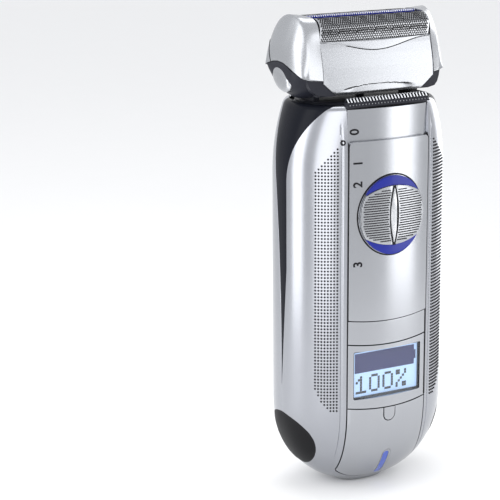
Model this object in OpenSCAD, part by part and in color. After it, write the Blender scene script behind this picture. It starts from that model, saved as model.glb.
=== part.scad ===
// Electric shaver: a rounded two-part casing with a sliding front switch that also
// carries a long-hair trimmer, and a swivelling head with two foils and a middle trimmer.
// Frame: X to the right, Y to the back, Z up, origin under the middle of the base.

/* [Body] */
// Width of the body
body_w = 60; // [54:1:72]
// Depth of the front half of the body, measured from the middle plane
front_d = 20; // [18:0.5:24]
// Depth of the back half of the body
back_d = 21.5; // [19:0.5:26]
// Height of the body from its base to its top rim
body_h = 133; // [118:1:160]
// Wall thickness of the casings
wall = 2; // [1.6:0.1:2.4]
// Height over which the base rounds up into the sides
base_round = 31; // [26:1:34]
// Height over which the shoulders turn in
shoulder_h = 25; // [18:1:32]
// How far each shoulder turns in at the top
shoulder_in = 5; // [3:0.5:6]
// Width of the black side inlay at the top, measured in front of the middle plane
inlay_front = 14; // [8:0.5:15]
// Width of the black side inlay at the top, behind the middle plane
inlay_back = 8.5; // [5:0.5:11]
// Height of the lower tip of the side inlays
inlay_tip = 37; // [34:1:60]

/* [Front channel] */
// Width of the plates in the front channel
channel_w = 31; // [27:0.5:34]
// Thickness of the sliding plates
plate_t = 1.4; // [1:0.1:1.8]
// Height of the lower edge of the display bezel
bezel_z = 31; // [31:0.5:34]
// Height of the display bezel
bezel_h = 22.3; // [21:0.5:26]
// Height of the plate between the bezel and the sliding panel
middle_h = 8; // [5:0.5:12]
// Width of the display window
display_w = 26.6; // [20:0.5:26.6]
// Height of the display window
display_h = 16.8; // [12:0.5:17]
// Travel of the switch from off to on
switch_travel = 11; // [8:0.5:12]
// Travel of the long-hair trimmer
trimmer_travel = 29; // [20:1:30]
// Diameter of the switch knob
knob_d = 26.8; // [20:0.4:28]
// Height of the knob above the base
knob_z = 96.5; // [88:0.5:100]

/* [Head] */
// Width of the shaving head
head_w = 58.8; // [52:0.5:70]
// Depth of the shaving head
head_d = 24; // [23.6:0.2:28]
// Height of the swivel axis above the top rim of the body
pivot_rise = 13; // [13:0.5:16]
// Width of each end cap
cap_t = 8.1; // [7:0.1:9]
// Outer radius of each foil arch
foil_r = 3.9; // [3.4:0.05:4]
// Distance of each foil's centre line from the middle plane
foil_y = 5.5; // [5.5:0.05:5.8]
// Downward float of the foils
foil_float = 1.5; // [0.8:0.1:1.5]
// Diameter of the swivel pins
pivot_d = 4; // [3:0.5:5]

/* [Inside] */
// Diameter of each battery cell
cell_d = 14.2; // [10:0.1:14.5]
// Length of each battery cell
cell_l = 50; // [40:0.5:50.5]
// Diameter of the motor
motor_d = 20; // [16:0.5:24]
// Length of the motor can
motor_l = 28; // [20:1:30]
// Throw of the eccentric, and so of the cutters to each side
throw = 1.2; // [0.8:0.1:1.4]
// Diameter of the two pins in the power inlet
inlet_pin_d = 1.6; // [1.2:0.1:2]
// Distance between the two inlet pins
inlet_pitch = 6.5; // [6:0.1:7]
// Depth of the power inlet
inlet_depth = 7; // [5:0.5:9]

/* [Clearances] */
// Gap between plates that slide on each other
slide_gap = 0.2; // [0.15:0.05:0.3]
// Gap between casings that meet at a seam
seam = 0.1; // [0.05:0.05:0.2]
// Radial clearance of a running pin
run_gap = 0.05; // [0.02:0.01:0.1]

/* [Hidden] */

half_w = body_w / 2;
section_power = 2.3;
base_power = 2.2;
far = 100;

// Corners of the upright sections and their heights
ring_points = 40;
base_steps = 6;
base_first = 74;
shoulder_steps = 4;
shoulder_power = 2.2;

shoulder_z = body_h - shoulder_h;

function se(v, p) = sign(v) * pow(abs(v), 2 / p);
function ring(w, front, back) = [for (k = [0 : ring_points - 1])
    let (t = 360 * k / ring_points, d = sin(t) < 0 ? front : back)
    [w * se(cos(t), section_power), d * se(sin(t), section_power)]];
function shrink_in(z) = z > shoulder_z
    ? shoulder_in * pow((z - shoulder_z) / shoulder_h, shoulder_power) : 0;

// Each level is [height, share of the full section, shoulder inset]
base_levels = [for (k = [0 : base_steps - 1])
    let (a = base_first * (1 - k / base_steps))
    [k == 0 ? 0 : base_round * (1 - se(sin(a), base_power)), se(cos(a), base_power), 0]];
top_levels = [for (k = [0 : shoulder_steps])
    let (z = shoulder_z + shoulder_h * k / shoulder_steps) [z, 1, shrink_in(z)]];
levels = concat(base_levels, [[base_round, 1, 0]], top_levels);

// Solid outer form of the body as one loft, taken in by inset and raised by inset at the base
function section_ring(level, inset) =
    let (share = level[1], shrink = inset * min(1, share + 0.25),
        lift = level[0] < base_round ? inset * (1 - level[0] / base_round) : 0)
    [for (p = ring(half_w * share - level[2] - shrink, front_d * share - shrink,
        back_d * share - shrink)) [p[0], p[1], level[0] + lift]];

module body_form(inset, over = 0) {
    top = levels[len(levels) - 1];
    all = over > 0 ? concat(levels, [[top[0] + over, top[1], top[2]]]) : levels;
    points = [for (level = all, p = section_ring(level, inset)) p];
    sides = [for (k = [0 : len(all) - 2], j = [0 : ring_points - 1])
        let (a = k * ring_points + j, b = k * ring_points + (j + 1) % ring_points,
            c = b + ring_points, d = a + ring_points)
        each [[a, d, c], [a, c, b]]];
    last = (len(all) - 1) * ring_points;
    polyhedron(points, concat(sides, [[for (j = [0 : ring_points - 1]) j],
        [for (j = [ring_points - 1 : -1 : 0]) last + j]]), convexity = 4);
}

// Seams of the casings, as functions of height
stripe_front = 3;
inlay_power_front = 1.8;
inlay_power_back = 2.5;
stripe_end = 78;
function front_seam(z) = z < inlay_tip ? 0
    : -stripe_front * min(1, (z - inlay_tip) / (stripe_end - inlay_tip))
      - (z > shoulder_z
        ? (inlay_front - stripe_front) * pow((z - shoulder_z) / shoulder_h, inlay_power_front) : 0);
function back_seam(z) = z < inlay_tip ? 0
    : inlay_back * pow((z - inlay_tip) / (body_h - inlay_tip), inlay_power_back);

seam_steps = 10;
seam_top = body_h + 1;
function seam_heights() = concat([-1, inlay_tip], [for (k = [1 : seam_steps])
    let (t = k / seam_steps)
    k < 4 ? inlay_tip + (shoulder_z - inlay_tip) * k / 4
        : shoulder_z + (seam_top - shoulder_z) * (k - 4) / (seam_steps - 4)]);

// Prism along X of a polygon given as [y, z] points
module along_x(points, from_x, to_x) {
    translate([from_x, 0, 0])
        rotate([90, 0, 90])
            linear_extrude(to_x - from_x)
                polygon(points);
}

// Prism along Y of a polygon given as [x, z] points
module along_y(points, from_y, to_y) {
    translate([0, to_y, 0])
        rotate([90, 0, 0])
            linear_extrude(to_y - from_y)
                polygon(points);
}

module span(from, to) {
    translate(from)
        cube(to - from);
}

module rod_x(r, from_x, to_x, y, z) {
    translate([from_x, y, z])
        rotate([0, 90, 0])
            cylinder(r = r, h = to_x - from_x, $fn = 48);
}

module rod_y(r, x, from_y, to_y, z, sides = 64) {
    translate([x, from_y, z])
        rotate([-90, 0, 0])
            cylinder(r = r, h = to_y - from_y, $fn = sides);
}

module rod_z(r, x, y, from_z, to_z) {
    translate([x, y, from_z])
        cylinder(r = r, h = to_z - from_z, $fn = 64);
}

module front_zone() {
    zs = seam_heights();
    along_x(concat([for (z = zs) [front_seam(z) - seam / 2, z]],
        [[-far, seam_top], [-far, -1]]), -far, far);
}

module back_zone() {
    zs = seam_heights();
    along_x(concat([for (z = zs) [back_seam(z) + seam / 2, z]],
        [[far, seam_top], [far, -1]]), -far, far);
}

module inlay_zone() {
    zs = [for (z = seam_heights()) if (z > inlay_tip) z];
    last = len(zs) - 1;
    along_x(concat([for (z = zs) [front_seam(z) + seam / 2, z]],
        [for (k = [last : -1 : 0]) [back_seam(zs[k]) - seam / 2, zs[k]]],
        [[0, inlay_tip + 4]]), -far, far);
}

// Rubber pads on the lower corners: an elliptic prism square to the corner
pad_half_y = 11.5;
pad_half_s = 10.2;
pad_lean = 26;
pad_proud = 0.4;
pad_sink = 0.8;
pad_x = half_w - 4;
pad_z = base_round / 2 + 3;
module pad_prism(side, grow) {
    translate([side * pad_x, 0, pad_z])
        rotate([0, side * (90 + pad_lean), 0])
            resize([2 * (pad_half_s + grow), 2 * (pad_half_y + grow), 40])
                cylinder(r = 10, h = 40, center = true, $fn = 48);
}

module corner_pad(side) {
    color([0.05, 0.05, 0.06])
        intersection() {
            difference() {
                body_form(-pad_proud);
                body_form(pad_sink);
            }
            pad_prism(side, 0);
            span([side > 0 ? 10 : -far, -far, -1], [side > 0 ? far : -10, far, base_round + 20]);
        }
}

module pad_recess(side) {
    intersection() {
        difference() {
            translate([-far, -far, -1]) cube([2 * far, 2 * far, base_round + 30]);
            body_form(pad_sink + seam);
        }
        pad_prism(side, seam);
        span([side > 0 ? 10 : -far, -far, -1], [side > 0 ? far : -10, far, base_round + 20]);
    }
}

// Fields of rubber dots on the front wings
dot_in = channel_w / 2 + 2.8;
dot_out = half_w - 4.2;
dot_bottom = bezel_z;
dot_top = body_h - 13.6;
dot_corner = 6.5;
dot_sink = 0.5;
dot_proud = 0.1;
function dot_outline(side, grow) = [for (p = [
    [dot_in - grow, dot_bottom - grow], [dot_out - 3, dot_bottom - grow],
    [dot_out + grow, dot_bottom + 4], [dot_out + grow, dot_top - dot_corner],
    [dot_in - grow, dot_top + grow]]) [side * p[0], p[1]]];

module dot_grip(side) {
    color([0.1, 0.1, 0.11])
        intersection() {
            difference() {
                body_form(-dot_proud);
                body_form(dot_sink);
            }
            along_y(dot_outline(side, 0), -far, -1);
        }
}

module dot_recess(side) {
    intersection() {
        difference() {
            span([-far, -far, 0], [far, 0, body_h]);
            body_form(dot_sink + seam);
        }
        along_y(dot_outline(side, seam), -far, -1);
    }
}

// Power inlet in the base
inlet_half_x = inlet_pitch / 2 + 2.6;
inlet_half_y = 3.2;
inlet_wall = 1;
inlet_back_t = 2;
inlet_top = inlet_depth + inlet_back_t;
module inlet_block(grow) {
    span([-inlet_half_x - inlet_wall - grow, -inlet_half_y - inlet_wall - grow, -1],
        [inlet_half_x + inlet_wall + grow, inlet_half_y + inlet_wall + grow, inlet_top + grow]);
}

// Casings
// Front channel: its lower edge rises towards the sides
channel_low = 3.1;
channel_rise = 4.4;
channel_steps = 6;
function channel_outline(half, lift, top) = concat([[-half, top]],
    [for (k = [-channel_steps : channel_steps]) let (t = k / channel_steps)
        [half * t, channel_low + lift + channel_rise * pow(abs(t), 3)]], [[half, top]]);

module front_shell() {
    color([0.78, 0.79, 0.81])
        difference() {
            intersection() {
                body_form(0);
                front_zone();
            }
            body_form(wall, 2);
            along_y(channel_outline(channel_w / 2 + seam, 0, far * 2), -far, 0);
            for (side = [-1, 1]) {
                pad_recess(side);
                dot_recess(side);
            }
            inlet_block(seam);
        }
}

screw_x = 12;
screw_zs = [base_round + 16, body_h - 26];
screw_r = 1.25;
screw_head_r = 2.4;
screw_head_h = 1.2;
function back_at(x) = back_d * pow(1 - pow(abs(x) / half_w, section_power), 1 / section_power);
screw_seat = back_at(screw_x + screw_head_r) - 0.9;
contact_x = 5;
contact_z = base_round + 6;
contact_r = 1.8;
hole_sides = 24;

module rear_shell() {
    color([0.72, 0.73, 0.75])
        difference() {
            intersection() {
                body_form(0);
                back_zone();
            }
            body_form(wall, 2);
            for (side = [-1, 1]) {
                pad_recess(side);
                rod_y(contact_r + 2 * seam, side * contact_x, 0, far, contact_z, hole_sides);
                for (z = screw_zs) {
                    rod_y(screw_r + 2 * seam, side * screw_x, 0, far, z, hole_sides);
                    rod_y(screw_head_r + 2 * seam, side * screw_x, screw_seat - seam, far, z, hole_sides);
                }
            }
            inlet_block(seam);
        }
}

module side_panel(side) {
    color([0.08, 0.08, 0.09])
        intersection() {
            difference() {
                body_form(0);
                body_form(wall, 2);
            }
            inlay_zone();
            span([side > 0 ? 5 : -far, -far, 0], [side > 0 ? far : -5, far, far * 2]);
        }
}

module case_screws() {
    color([0.6, 0.6, 0.62])
        for (side = [-1, 1], z = screw_zs)
            difference() {
                union() {
                    rod_y(screw_head_r, side * screw_x, screw_seat, screw_seat + screw_head_h, z);
                    rod_y(screw_r, side * screw_x, screw_seat - 7, screw_seat + 0.5, z);
                }
                for (turn = [0, 90])
                    translate([side * screw_x, screw_seat + screw_head_h, z])
                        rotate([0, turn, 0])
                            cube([2.8, 1.2, 0.6], center = true);
            }
}

module charging_contacts() {
    color([0.85, 0.7, 0.35])
        for (side = [-1, 1])
            rod_y(contact_r, side * contact_x, back_at(contact_x) - 4, back_at(contact_x), contact_z);
}

// Front channel: plates are bent about one upright axis behind the body
bend_y = 40;
face_r = front_d + bend_y;
panel_proud = 0.3;
panel_r = face_r + panel_proud;
carrier_r = panel_r - plate_t - slide_gap;
guide_r = carrier_r - plate_t - slide_gap;
guide_t = 1.2;
channel_half = channel_w / 2 - slide_gap;
recess_h = switch_travel;
plate_top = body_h - 1;
panel_low = bezel_z + bezel_h + middle_h + 3 * seam;
panel_top = plate_top - recess_h;

module bent_plate(outer, t, half, from_z, to_z) {
    intersection() {
        translate([0, bend_y, from_z])
            difference() {
                cylinder(r = outer, h = to_z - from_z, $fn = 240);
                translate([0, 0, -1]) cylinder(r = outer - t, h = to_z - from_z + 2, $fn = 240);
            }
        span([-half, -far, from_z - 1], [half, 0, to_z + 1]);
    }
}

stud_half = 2;
stud_low = panel_low + 3;
stud_h = 4;
stud_y = -13;

module slide_panel() {
    color([0.8, 0.81, 0.83])
        union() {
            bent_plate(panel_r, plate_t, channel_half, panel_low, panel_top);
            intersection() {
                span([-stud_half, -front_d, stud_low], [stud_half, stud_y, stud_low + stud_h]);
                translate([0, bend_y, 0]) cylinder(r = panel_r - plate_t + 0.1, h = far * 2, $fn = 240);
            }
        }
}

holder_h = 1.6;
module trimmer_carrier() {
    color([0.68, 0.69, 0.71])
        difference() {
            union() {
                bent_plate(carrier_r, plate_t, channel_half, panel_low + 1, plate_top);
                span([-channel_half + 0.2, -front_d + 0.6, plate_top],
                    [channel_half - 0.2, -front_d + 3.2, plate_top + holder_h]);
            }
            span([-stud_half - slide_gap, -far, stud_low - slide_gap],
                [stud_half + slide_gap, 0, stud_low + stud_h + switch_travel + slide_gap]);
        }
}

comb_h = 3.4;
comb_t = 0.6;
comb_pitch = 1.15;
comb_slot = 0.55;
comb_count = floor((channel_w - 4) / comb_pitch / 2);
comb_front = -front_d + 0.6 - comb_t;
module trimmer_comb() {
    color([0.85, 0.86, 0.88])
        difference() {
            span([-channel_half + 0.2, comb_front, plate_top + 0.1],
                [channel_half - 0.2, comb_front + comb_t, plate_top + comb_h]);
            for (k = [-comb_count : comb_count])
                span([k * comb_pitch - comb_slot / 2, comb_front - 1, plate_top + holder_h + 0.2],
                    [k * comb_pitch + comb_slot / 2, comb_front + comb_t + 1, plate_top + comb_h + 1]);
        }
}

blade_gap = 0.05;
blade_low = plate_top + holder_h + blade_gap;
module trimmer_blade() {
    color([0.75, 0.76, 0.78])
        difference() {
            span([-channel_half + 1.6, comb_front + comb_t + blade_gap, blade_low],
                [channel_half - 1.6, comb_front + comb_t + 0.7, plate_top + comb_h - 0.3]);
            for (k = [-comb_count + 2 : comb_count - 2])
                span([k * comb_pitch - comb_slot / 2, -front_d, blade_low + 0.6],
                    [k * comb_pitch + comb_slot / 2, -front_d + 4, plate_top + comb_h + 1]);
        }
}

module guide_plate() {
    color([0.15, 0.15, 0.16])
        difference() {
            bent_plate(guide_r, guide_t, channel_w / 2, bezel_z + bezel_h + 1, body_h - 2);
            span([-stud_half - slide_gap, -far, stud_low - slide_gap],
                [stud_half + slide_gap, 0,
                    stud_low + stud_h + switch_travel + trimmer_travel + slide_gap]);
        }
}

// Knob: a bent disc with a barrel-shaped grip band between two crescents
knob_rise = 1.4;
arc_sides = 200;
band_r = 21;
band_half = knob_d / 2 - 3.6;
rib_half_h = band_half - 0.2;
rib_half_w = 2;
rib_r = (rib_half_h * rib_half_h + rib_half_w * rib_half_w) / (2 * rib_half_w);
rib_travel = 0.8;
module knob_disc() {
    intersection() {
        bent_plate(panel_r + knob_rise, knob_rise - 0.02, channel_half, 0, body_h);
        rod_y(knob_d / 2, 0, -far, 0, knob_z, arc_sides);
    }
}

module band_zone(grow) {
    intersection() {
        rod_y(band_r + grow, 0, -far, 0, knob_z + band_r - band_half, arc_sides);
        rod_y(band_r + grow, 0, -far, 0, knob_z - band_r + band_half, arc_sides);
    }
}

module rib_zone(grow, from_y, to_y) {
    intersection() {
        rod_y(rib_r + grow, rib_r - rib_half_w, from_y, to_y, knob_z, arc_sides);
        rod_y(rib_r + grow, rib_half_w - rib_r, from_y, to_y, knob_z, arc_sides);
    }
}

module switch_knob() {
    color([0.82, 0.83, 0.85])
        difference() {
            intersection() {
                knob_disc();
                band_zone(0);
            }
            rib_zone(0.15, -far, 0);
        }
}

module knob_crescents() {
    color([0.2, 0.25, 0.7])
        difference() {
            knob_disc();
            band_zone(seam);
        }
}

rib_top = 0.7;
module knob_lock_rib() {
    color([0.75, 0.76, 0.78])
        rib_zone(0, -front_d - panel_proud - knob_rise - rib_top, -front_d - panel_proud - rib_travel - 0.1);
}

// Fixed plates under the sliding panel
frame_t = 2.2;
module middle_plate() {
    color([0.8, 0.81, 0.83])
        bent_plate(face_r, frame_t, channel_half, bezel_z + bezel_h + 2 * seam, panel_low - seam);
}

window_t = 1;
window_sink = 0.6;
display_z = bezel_z + bezel_h - 2.2 - display_h;
module display_bezel() {
    color([0.8, 0.81, 0.83])
        difference() {
            bent_plate(face_r, frame_t, channel_half, bezel_z + seam, bezel_z + bezel_h);
            span([-display_w / 2, -far, display_z], [display_w / 2, 0, display_z + display_h]);
        }
}

module display_window() {
    color([0.7, 0.8, 0.95, 0.5])
        bent_plate(face_r - window_sink, window_t, display_w / 2 - seam,
            display_z + seam, display_z + display_h - seam);
}

lcd_front = -sqrt(pow(face_r - frame_t, 2) - pow(display_w / 2, 2)) + bend_y + 0.1;
lcd_t = 2.4;
module lcd_module() {
    color([0.6, 0.75, 0.9])
        span([-display_w / 2 + 0.2, lcd_front, display_z - 0.6],
            [display_w / 2 - 0.2, lcd_front + lcd_t, display_z + display_h + 0.6]);
}

light_x = 1.1;
light_r = 1.3;
light_low = channel_low + 1.7;
light_high = light_low + 9.1;
cover_t = 1.6;
module light_prism(grow) {
    hull()
        for (z = [light_low, light_high])
            rod_y(light_r + grow, light_x, -far, -1, z);
}

button_x = 0.2;
button_r = 2.2;
button_drop = 3.2;
button_travel = 0.8;
module button_prism(grow, from_y, to_y) {
    rod_y(button_r + grow, button_x, from_y, to_y, bezel_z - button_drop);
    span([button_x - button_r - grow, from_y, bezel_z - button_drop],
        [button_x + button_r + grow, to_y, bezel_z - (grow > 0 ? -1 : 0.1)]);
}

module lower_cover() {
    color([0.8, 0.81, 0.83])
        difference() {
            intersection() {
                body_form(0);
                along_y(channel_outline(channel_half, seam, bezel_z), -far, -seam);
            }
            body_form(cover_t, 2);
            light_prism(seam);
            button_prism(0.15, -far, 0);
            inlet_block(seam);
        }
}

module charge_light() {
    color([0.25, 0.4, 0.9])
        intersection() {
            difference() {
                body_form(0);
                body_form(cover_t, 2);
            }
            light_prism(0);
        }
}

module reset_button() {
    color([0.8, 0.81, 0.83])
        button_prism(0, -front_d + 0.1, -front_d + 4);
}

// Neck and inner frame
pivot_z = body_h + pivot_rise;
cap_in = head_w / 2 - cap_t;
ear_out = cap_in - 1.1;
ear_t = 2.2;
ear_half = 4;
bracket_z = body_h - 4;
bracket_t = 1.5;
collar_t = 1.4;
inner_top_w = half_w - shoulder_in - wall;

module neck_collar() {
    color([0.12, 0.12, 0.13])
        difference() {
            translate([0, 0, bracket_z + bracket_t + seam])
                linear_extrude(collar_t)
                    polygon(ring(inner_top_w - 0.4, front_d - 6, back_d - wall - 0.6));
            for (side = [-1, 1]) {
                low = side > 0 ? ear_out - ear_t : -ear_out;
                span([low - 0.2, -ear_half - 0.2, 0], [low + ear_t + 0.2, ear_half + 0.2, far * 2]);
            }
            span([-throw - 2.2, -2, 0], [throw + 2.2, 2, far * 2]);
        }
}

module neck_bracket() {
    color([0.2, 0.2, 0.22])
        difference() {
            union() {
                span([-ear_out - 1, -9, bracket_z], [ear_out + 1, 9, bracket_z + bracket_t]);
                for (side = [-1, 1]) {
                    low = side > 0 ? ear_out - ear_t : -ear_out;
                    span([low, -ear_half, bracket_z], [low + ear_t, ear_half, pivot_z]);
                    rod_x(ear_half, low, low + ear_t, 0, pivot_z);
                }
            }
            rod_x(pivot_d / 2 + run_gap, -far, far, 0, pivot_z);
            span([-throw - 2.2, -2, 0], [throw + 2.2, 2, bracket_z + bracket_t + 1]);
        }
}

rail_x = cell_d + 4.2;
rail_t = 2;
rail_half_y = 9.5;
floor_z = base_round + 2;
shelf_z = floor_z + cell_l + 6;
shelf_t = 2;
cell_z = floor_z + shelf_t + 1;
motor_y = 6;
motor_top = bracket_z - 6;
deck_z = motor_top + 0.2;
boss_r = 3;

module chassis() {
    color([0.16, 0.17, 0.18])
        difference() {
            union() {
                for (side = [-1, 1]) {
                    low = side > 0 ? rail_x : -rail_x - rail_t;
                    span([low, -rail_half_y, floor_z], [low + rail_t, rail_half_y, deck_z + shelf_t]);
                    for (z = screw_zs)
                        rod_y(boss_r, side * screw_x, rail_half_y - 2, screw_seat - wall - 0.3, z);
                }
                for (z = screw_zs)
                    span([-rail_x - 1, rail_half_y - 2, z - 2], [rail_x + 1, rail_half_y, z + 2]);
                for (z = [floor_z, shelf_z, deck_z])
                    span([-rail_x - 1, -rail_half_y, z], [rail_x + 1, rail_half_y, z + shelf_t]);
            }
            for (side = [-1, 1], z = screw_zs)
                rod_y(screw_r + run_gap, side * screw_x, rail_half_y - 3, far, z);
            rod_z(motor_d / 2 + 0.2, 0, motor_y, shelf_z + shelf_t, deck_z);
            rod_z(cell_d / 2 + 0.3, cell_d / 2 + 0.4, 2, cell_z - 0.2, shelf_z);
            rod_z(cell_d / 2 + 0.3, -cell_d / 2 - 0.4, 2, cell_z - 0.2, shelf_z);
            rod_z(1.6, 0, motor_y, deck_z - 1, deck_z + shelf_t + 1);
        }
}

module battery_cells() {
    color([0.2, 0.45, 0.3])
        for (side = [-1, 1]) {
            rod_z(cell_d / 2, side * (cell_d / 2 + 0.4), 2, cell_z, cell_z + cell_l - 1);
            rod_z(cell_d / 5, side * (cell_d / 2 + 0.4), 2, cell_z + cell_l - 1, cell_z + cell_l);
        }
}

board_y = -rail_half_y - 1.4;
module circuit_board() {
    color([0.1, 0.35, 0.2])
        union() {
            span([-15, board_y, floor_z + 1], [15, board_y + 1.2, shelf_z + 4]);
            for (z = [floor_z + 30, floor_z + 44])
                span([-6, board_y - 1.2, z], [6, board_y, z + 6]);
        }
}

module motor() {
    color([0.6, 0.61, 0.63])
        difference() {
            union() {
                rod_z(motor_d / 2, 0, motor_y, motor_top - motor_l, motor_top);
                rod_z(3.2, 0, motor_y, motor_top - motor_l - 1.5, motor_top - motor_l);
            }
            rod_z(1 + run_gap, 0, motor_y, motor_top - motor_l + 2, motor_top + 1);
        }
}

crank_z = deck_z + shelf_t + 0.3;
module motor_shaft() {
    color([0.75, 0.76, 0.78])
        union() {
            rod_z(1, 0, motor_y, motor_top - motor_l + 3, crank_z);
            rod_z(throw + 1.6, 0, motor_y, crank_z, crank_z + 1);
            rod_z(0.8, 0, motor_y + throw, crank_z + 1, crank_z + 2.4);
        }
}

bridge_z = crank_z + 1.2;
drive_pin_r = 1.5;
drive_top = pivot_z + 2;
module drive_bridge() {
    color([0.3, 0.3, 0.32])
        union() {
            difference() {
                span([-8, -4, bridge_z], [8, motor_y + throw + 3.6, bridge_z + 1.2]);
                rod_z(throw * 2 + 1, 0, motor_y, bridge_z - 1, bridge_z + 2);
            }
            rod_z(drive_pin_r, 0, 0, bridge_z + 1.2, drive_top);
        }
}

inlet_tail_r = 0.5;
module power_inlet() {
    color([0.1, 0.1, 0.11])
        difference() {
            intersection() {
                inlet_block(0);
                span([-far, -far, 0], [far, far, far]);
            }
            span([-inlet_half_x, -inlet_half_y, -2], [inlet_half_x, inlet_half_y, inlet_depth]);
            for (side = [-1, 1])
                rod_z(inlet_tail_r, side * inlet_pitch / 2, 0, inlet_depth - 1, inlet_top + 1);
        }
}

pin_recess = 1.5;
module inlet_pins() {
    color([0.8, 0.78, 0.7])
        for (side = [-1, 1]) {
            rod_z(inlet_pin_d / 2, side * inlet_pitch / 2, 0, pin_recess, inlet_depth);
            rod_z(inlet_tail_r, side * inlet_pitch / 2, 0, inlet_depth, inlet_top + 3);
        }
}

// Head
head_half = head_w / 2;
head_front = -head_d / 2;
cover_low = body_h + 2.7;
cover_high = body_h + 19.8;
cover_plate = 1.5;
cover_half = cap_in - 0.2;
chamfer_x = 5;
chamfer_z = 4.3;
cradle_r = head_d / 2;
cradle_low = body_h + 2.2;
ear_edge = [[head_front - 0.2, body_h + 8], [-9, body_h + 8.6], [-5, body_h + 10.6],
    [-1, body_h + 12.4], [3, body_h + 13.2], [head_d / 2 + 0.3, body_h + 13.2]];

function shifted(points, dz) = [for (p = points) [p[0], p[1] + dz]];

button_half_y = 6;
button_half_z = 4;
release_y = 2;
release_z = pivot_z - 5.4;
release_travel = 1.5;
module release_form(side, grow, from_x, to_x) {
    translate([side * from_x, release_y, release_z])
        rotate([-25, 0, 0])
            rotate([0, side * 90, 0])
                resize([2 * (button_half_z + grow), 2 * (button_half_y + grow), to_x - from_x])
                    cylinder(r = 5, h = to_x - from_x, $fn = 40);
}

module cradle_block(side) {
    from_x = side > 0 ? cover_half + seam : -head_half + 0.4;
    to_x = side > 0 ? head_half - 0.4 : -cover_half - seam;
    intersection() {
        rod_x(cradle_r, from_x, to_x, 0, pivot_z);
        along_x(concat(ear_edge, [[far, body_h], [-far, body_h]]), from_x, to_x);
        along_y([for (p = [[0, body_h + 1], [cap_in + 2, body_h + 1], [head_half - 2.8, body_h + 4],
            [head_half - 0.9, body_h + 8], [head_half - 0.4, body_h + 14], [0, body_h + 14]])
            [side * p[0], p[1]]], -far, far);
    }
}

// Corner of the cradle beside the cover's chamfer, on the front and on the back
module cradle_corner(side, from_y, to_y) {
    along_y([for (p = [[cover_half + seam, body_h + 8], [cover_half + seam, cover_low + chamfer_z],
        [cover_half - chamfer_x + seam, cover_low - seam], [cover_half - chamfer_x, cradle_low],
        [cap_in + 2, cradle_low], [head_half - 2.8, body_h + 4], [head_half - 0.9, body_h + 8]])
        [side * p[0], p[1]]], from_y, to_y);
}

sill_in = 8.2;
sill_t = head_d / 2 - cover_plate - sill_in - 0.4;
module head_cradle() {
    color([0.12, 0.12, 0.14])
        difference() {
            union() {
                for (side = [-1, 1]) {
                    cradle_block(side);
                    cradle_corner(side, head_front + 0.3, -sill_in);
                    cradle_corner(side, sill_in, head_d / 2 - 0.3);
                }
                for (y = [-sill_in - sill_t, sill_in])
                    span([-cap_in, y, cradle_low], [cap_in, y + sill_t, cradle_low + 4]);
            }
            for (side = [-1, 1])
                release_form(side, 0.2, head_half - 5, head_half + 5);
            rod_x(pivot_d / 2 + 0.01, -head_half + 6, head_half - 6, 0, pivot_z);
        }
}

pin_end = head_half - 6.1;
module pivot_pins() {
    color([0.75, 0.76, 0.78])
        for (side = [-1, 1])
            rod_x(pivot_d / 2, side > 0 ? ear_out - ear_t - 0.6 : -pin_end,
                side > 0 ? pin_end : -ear_out + ear_t + 0.6, 0, pivot_z);
}

release_proud = 0.5;
module release_button(side) {
    color([0.82, 0.83, 0.85])
        release_form(side, 0, head_half - 5 + release_travel + 0.2, head_half - 0.4 + release_proud);
}

// Foil cassette
ring_low = pivot_z + pivot_d / 2 + 0.3;
ring_high = pivot_z + 4.2;
ring_t = 1;
ring_y = head_d / 2 - 0.3 - cover_plate;
module foil_frame() {
    color([0.7, 0.71, 0.73])
        difference() {
            span([-cap_in, -ring_y, ring_low], [cap_in, ring_y, ring_high]);
            span([-cap_in + 0.8, -ring_y + ring_t, ring_low - 1], [cap_in - 0.8, ring_y - ring_t, ring_high + 1]);
        }
}

module head_cover(from_y) {
    along_y([[-cover_half, cover_high], [cover_half, cover_high],
        [cover_half, cover_low + chamfer_z], [cover_half - chamfer_x, cover_low],
        [-cover_half + chamfer_x, cover_low], [-cover_half, cover_low + chamfer_z]],
        from_y, from_y + cover_plate);
}

module head_front_cover() {
    color([0.8, 0.81, 0.83])
        head_cover(-ring_y - cover_plate);
}

module head_rear_cover() {
    color([0.8, 0.81, 0.83])
        head_cover(ring_y);
}

cap_top = body_h + 28.3;
cap_round = 7.5;
function cap_profile() = concat(
    shifted([for (p = ear_edge) if (p[0] > head_front && p[0] < head_d / 2) p], 0.2),
    [[head_d / 2 + 0.2, body_h + 13.4]],
    [for (a = [0 : 15 : 90]) [head_d / 2 - 1.4 - cap_round * (1 - cos(a)),
        cap_top - cap_round * (1 - sin(a))]],
    [for (a = [90 : 15 : 180]) [head_front + 1.4 + cap_round * (1 + cos(a)),
        cap_top - cap_round * (1 - sin(a))]],
    [[head_front + 0.1, body_h + 14], [head_front - 0.1, body_h + 8.2]]);

module end_cap(side) {
    notch = pin_end + 0.4;
    color([0.83, 0.84, 0.86])
        difference() {
            intersection() {
                along_x(cap_profile(), side > 0 ? cap_in : -head_half, side > 0 ? head_half : -cap_in);
                linear_extrude(far * 2)
                    polygon([for (p = [[cap_in - 1, head_front - 0.2], [head_half - 2.8, head_front + 0.6],
                        [head_half - 0.9, head_front + 4], [head_half, 0], [head_half - 0.9, 8.5],
                        [head_half - 2.4, head_d / 2 + 0.3], [cap_in - 1, head_d / 2 + 0.3]])
                        [side * p[0], p[1]]]);
            }
            rod_x(pivot_d / 2 + 0.3, side > 0 ? 0 : -notch, side > 0 ? notch : 0, 0, pivot_z);
        }
}

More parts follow.
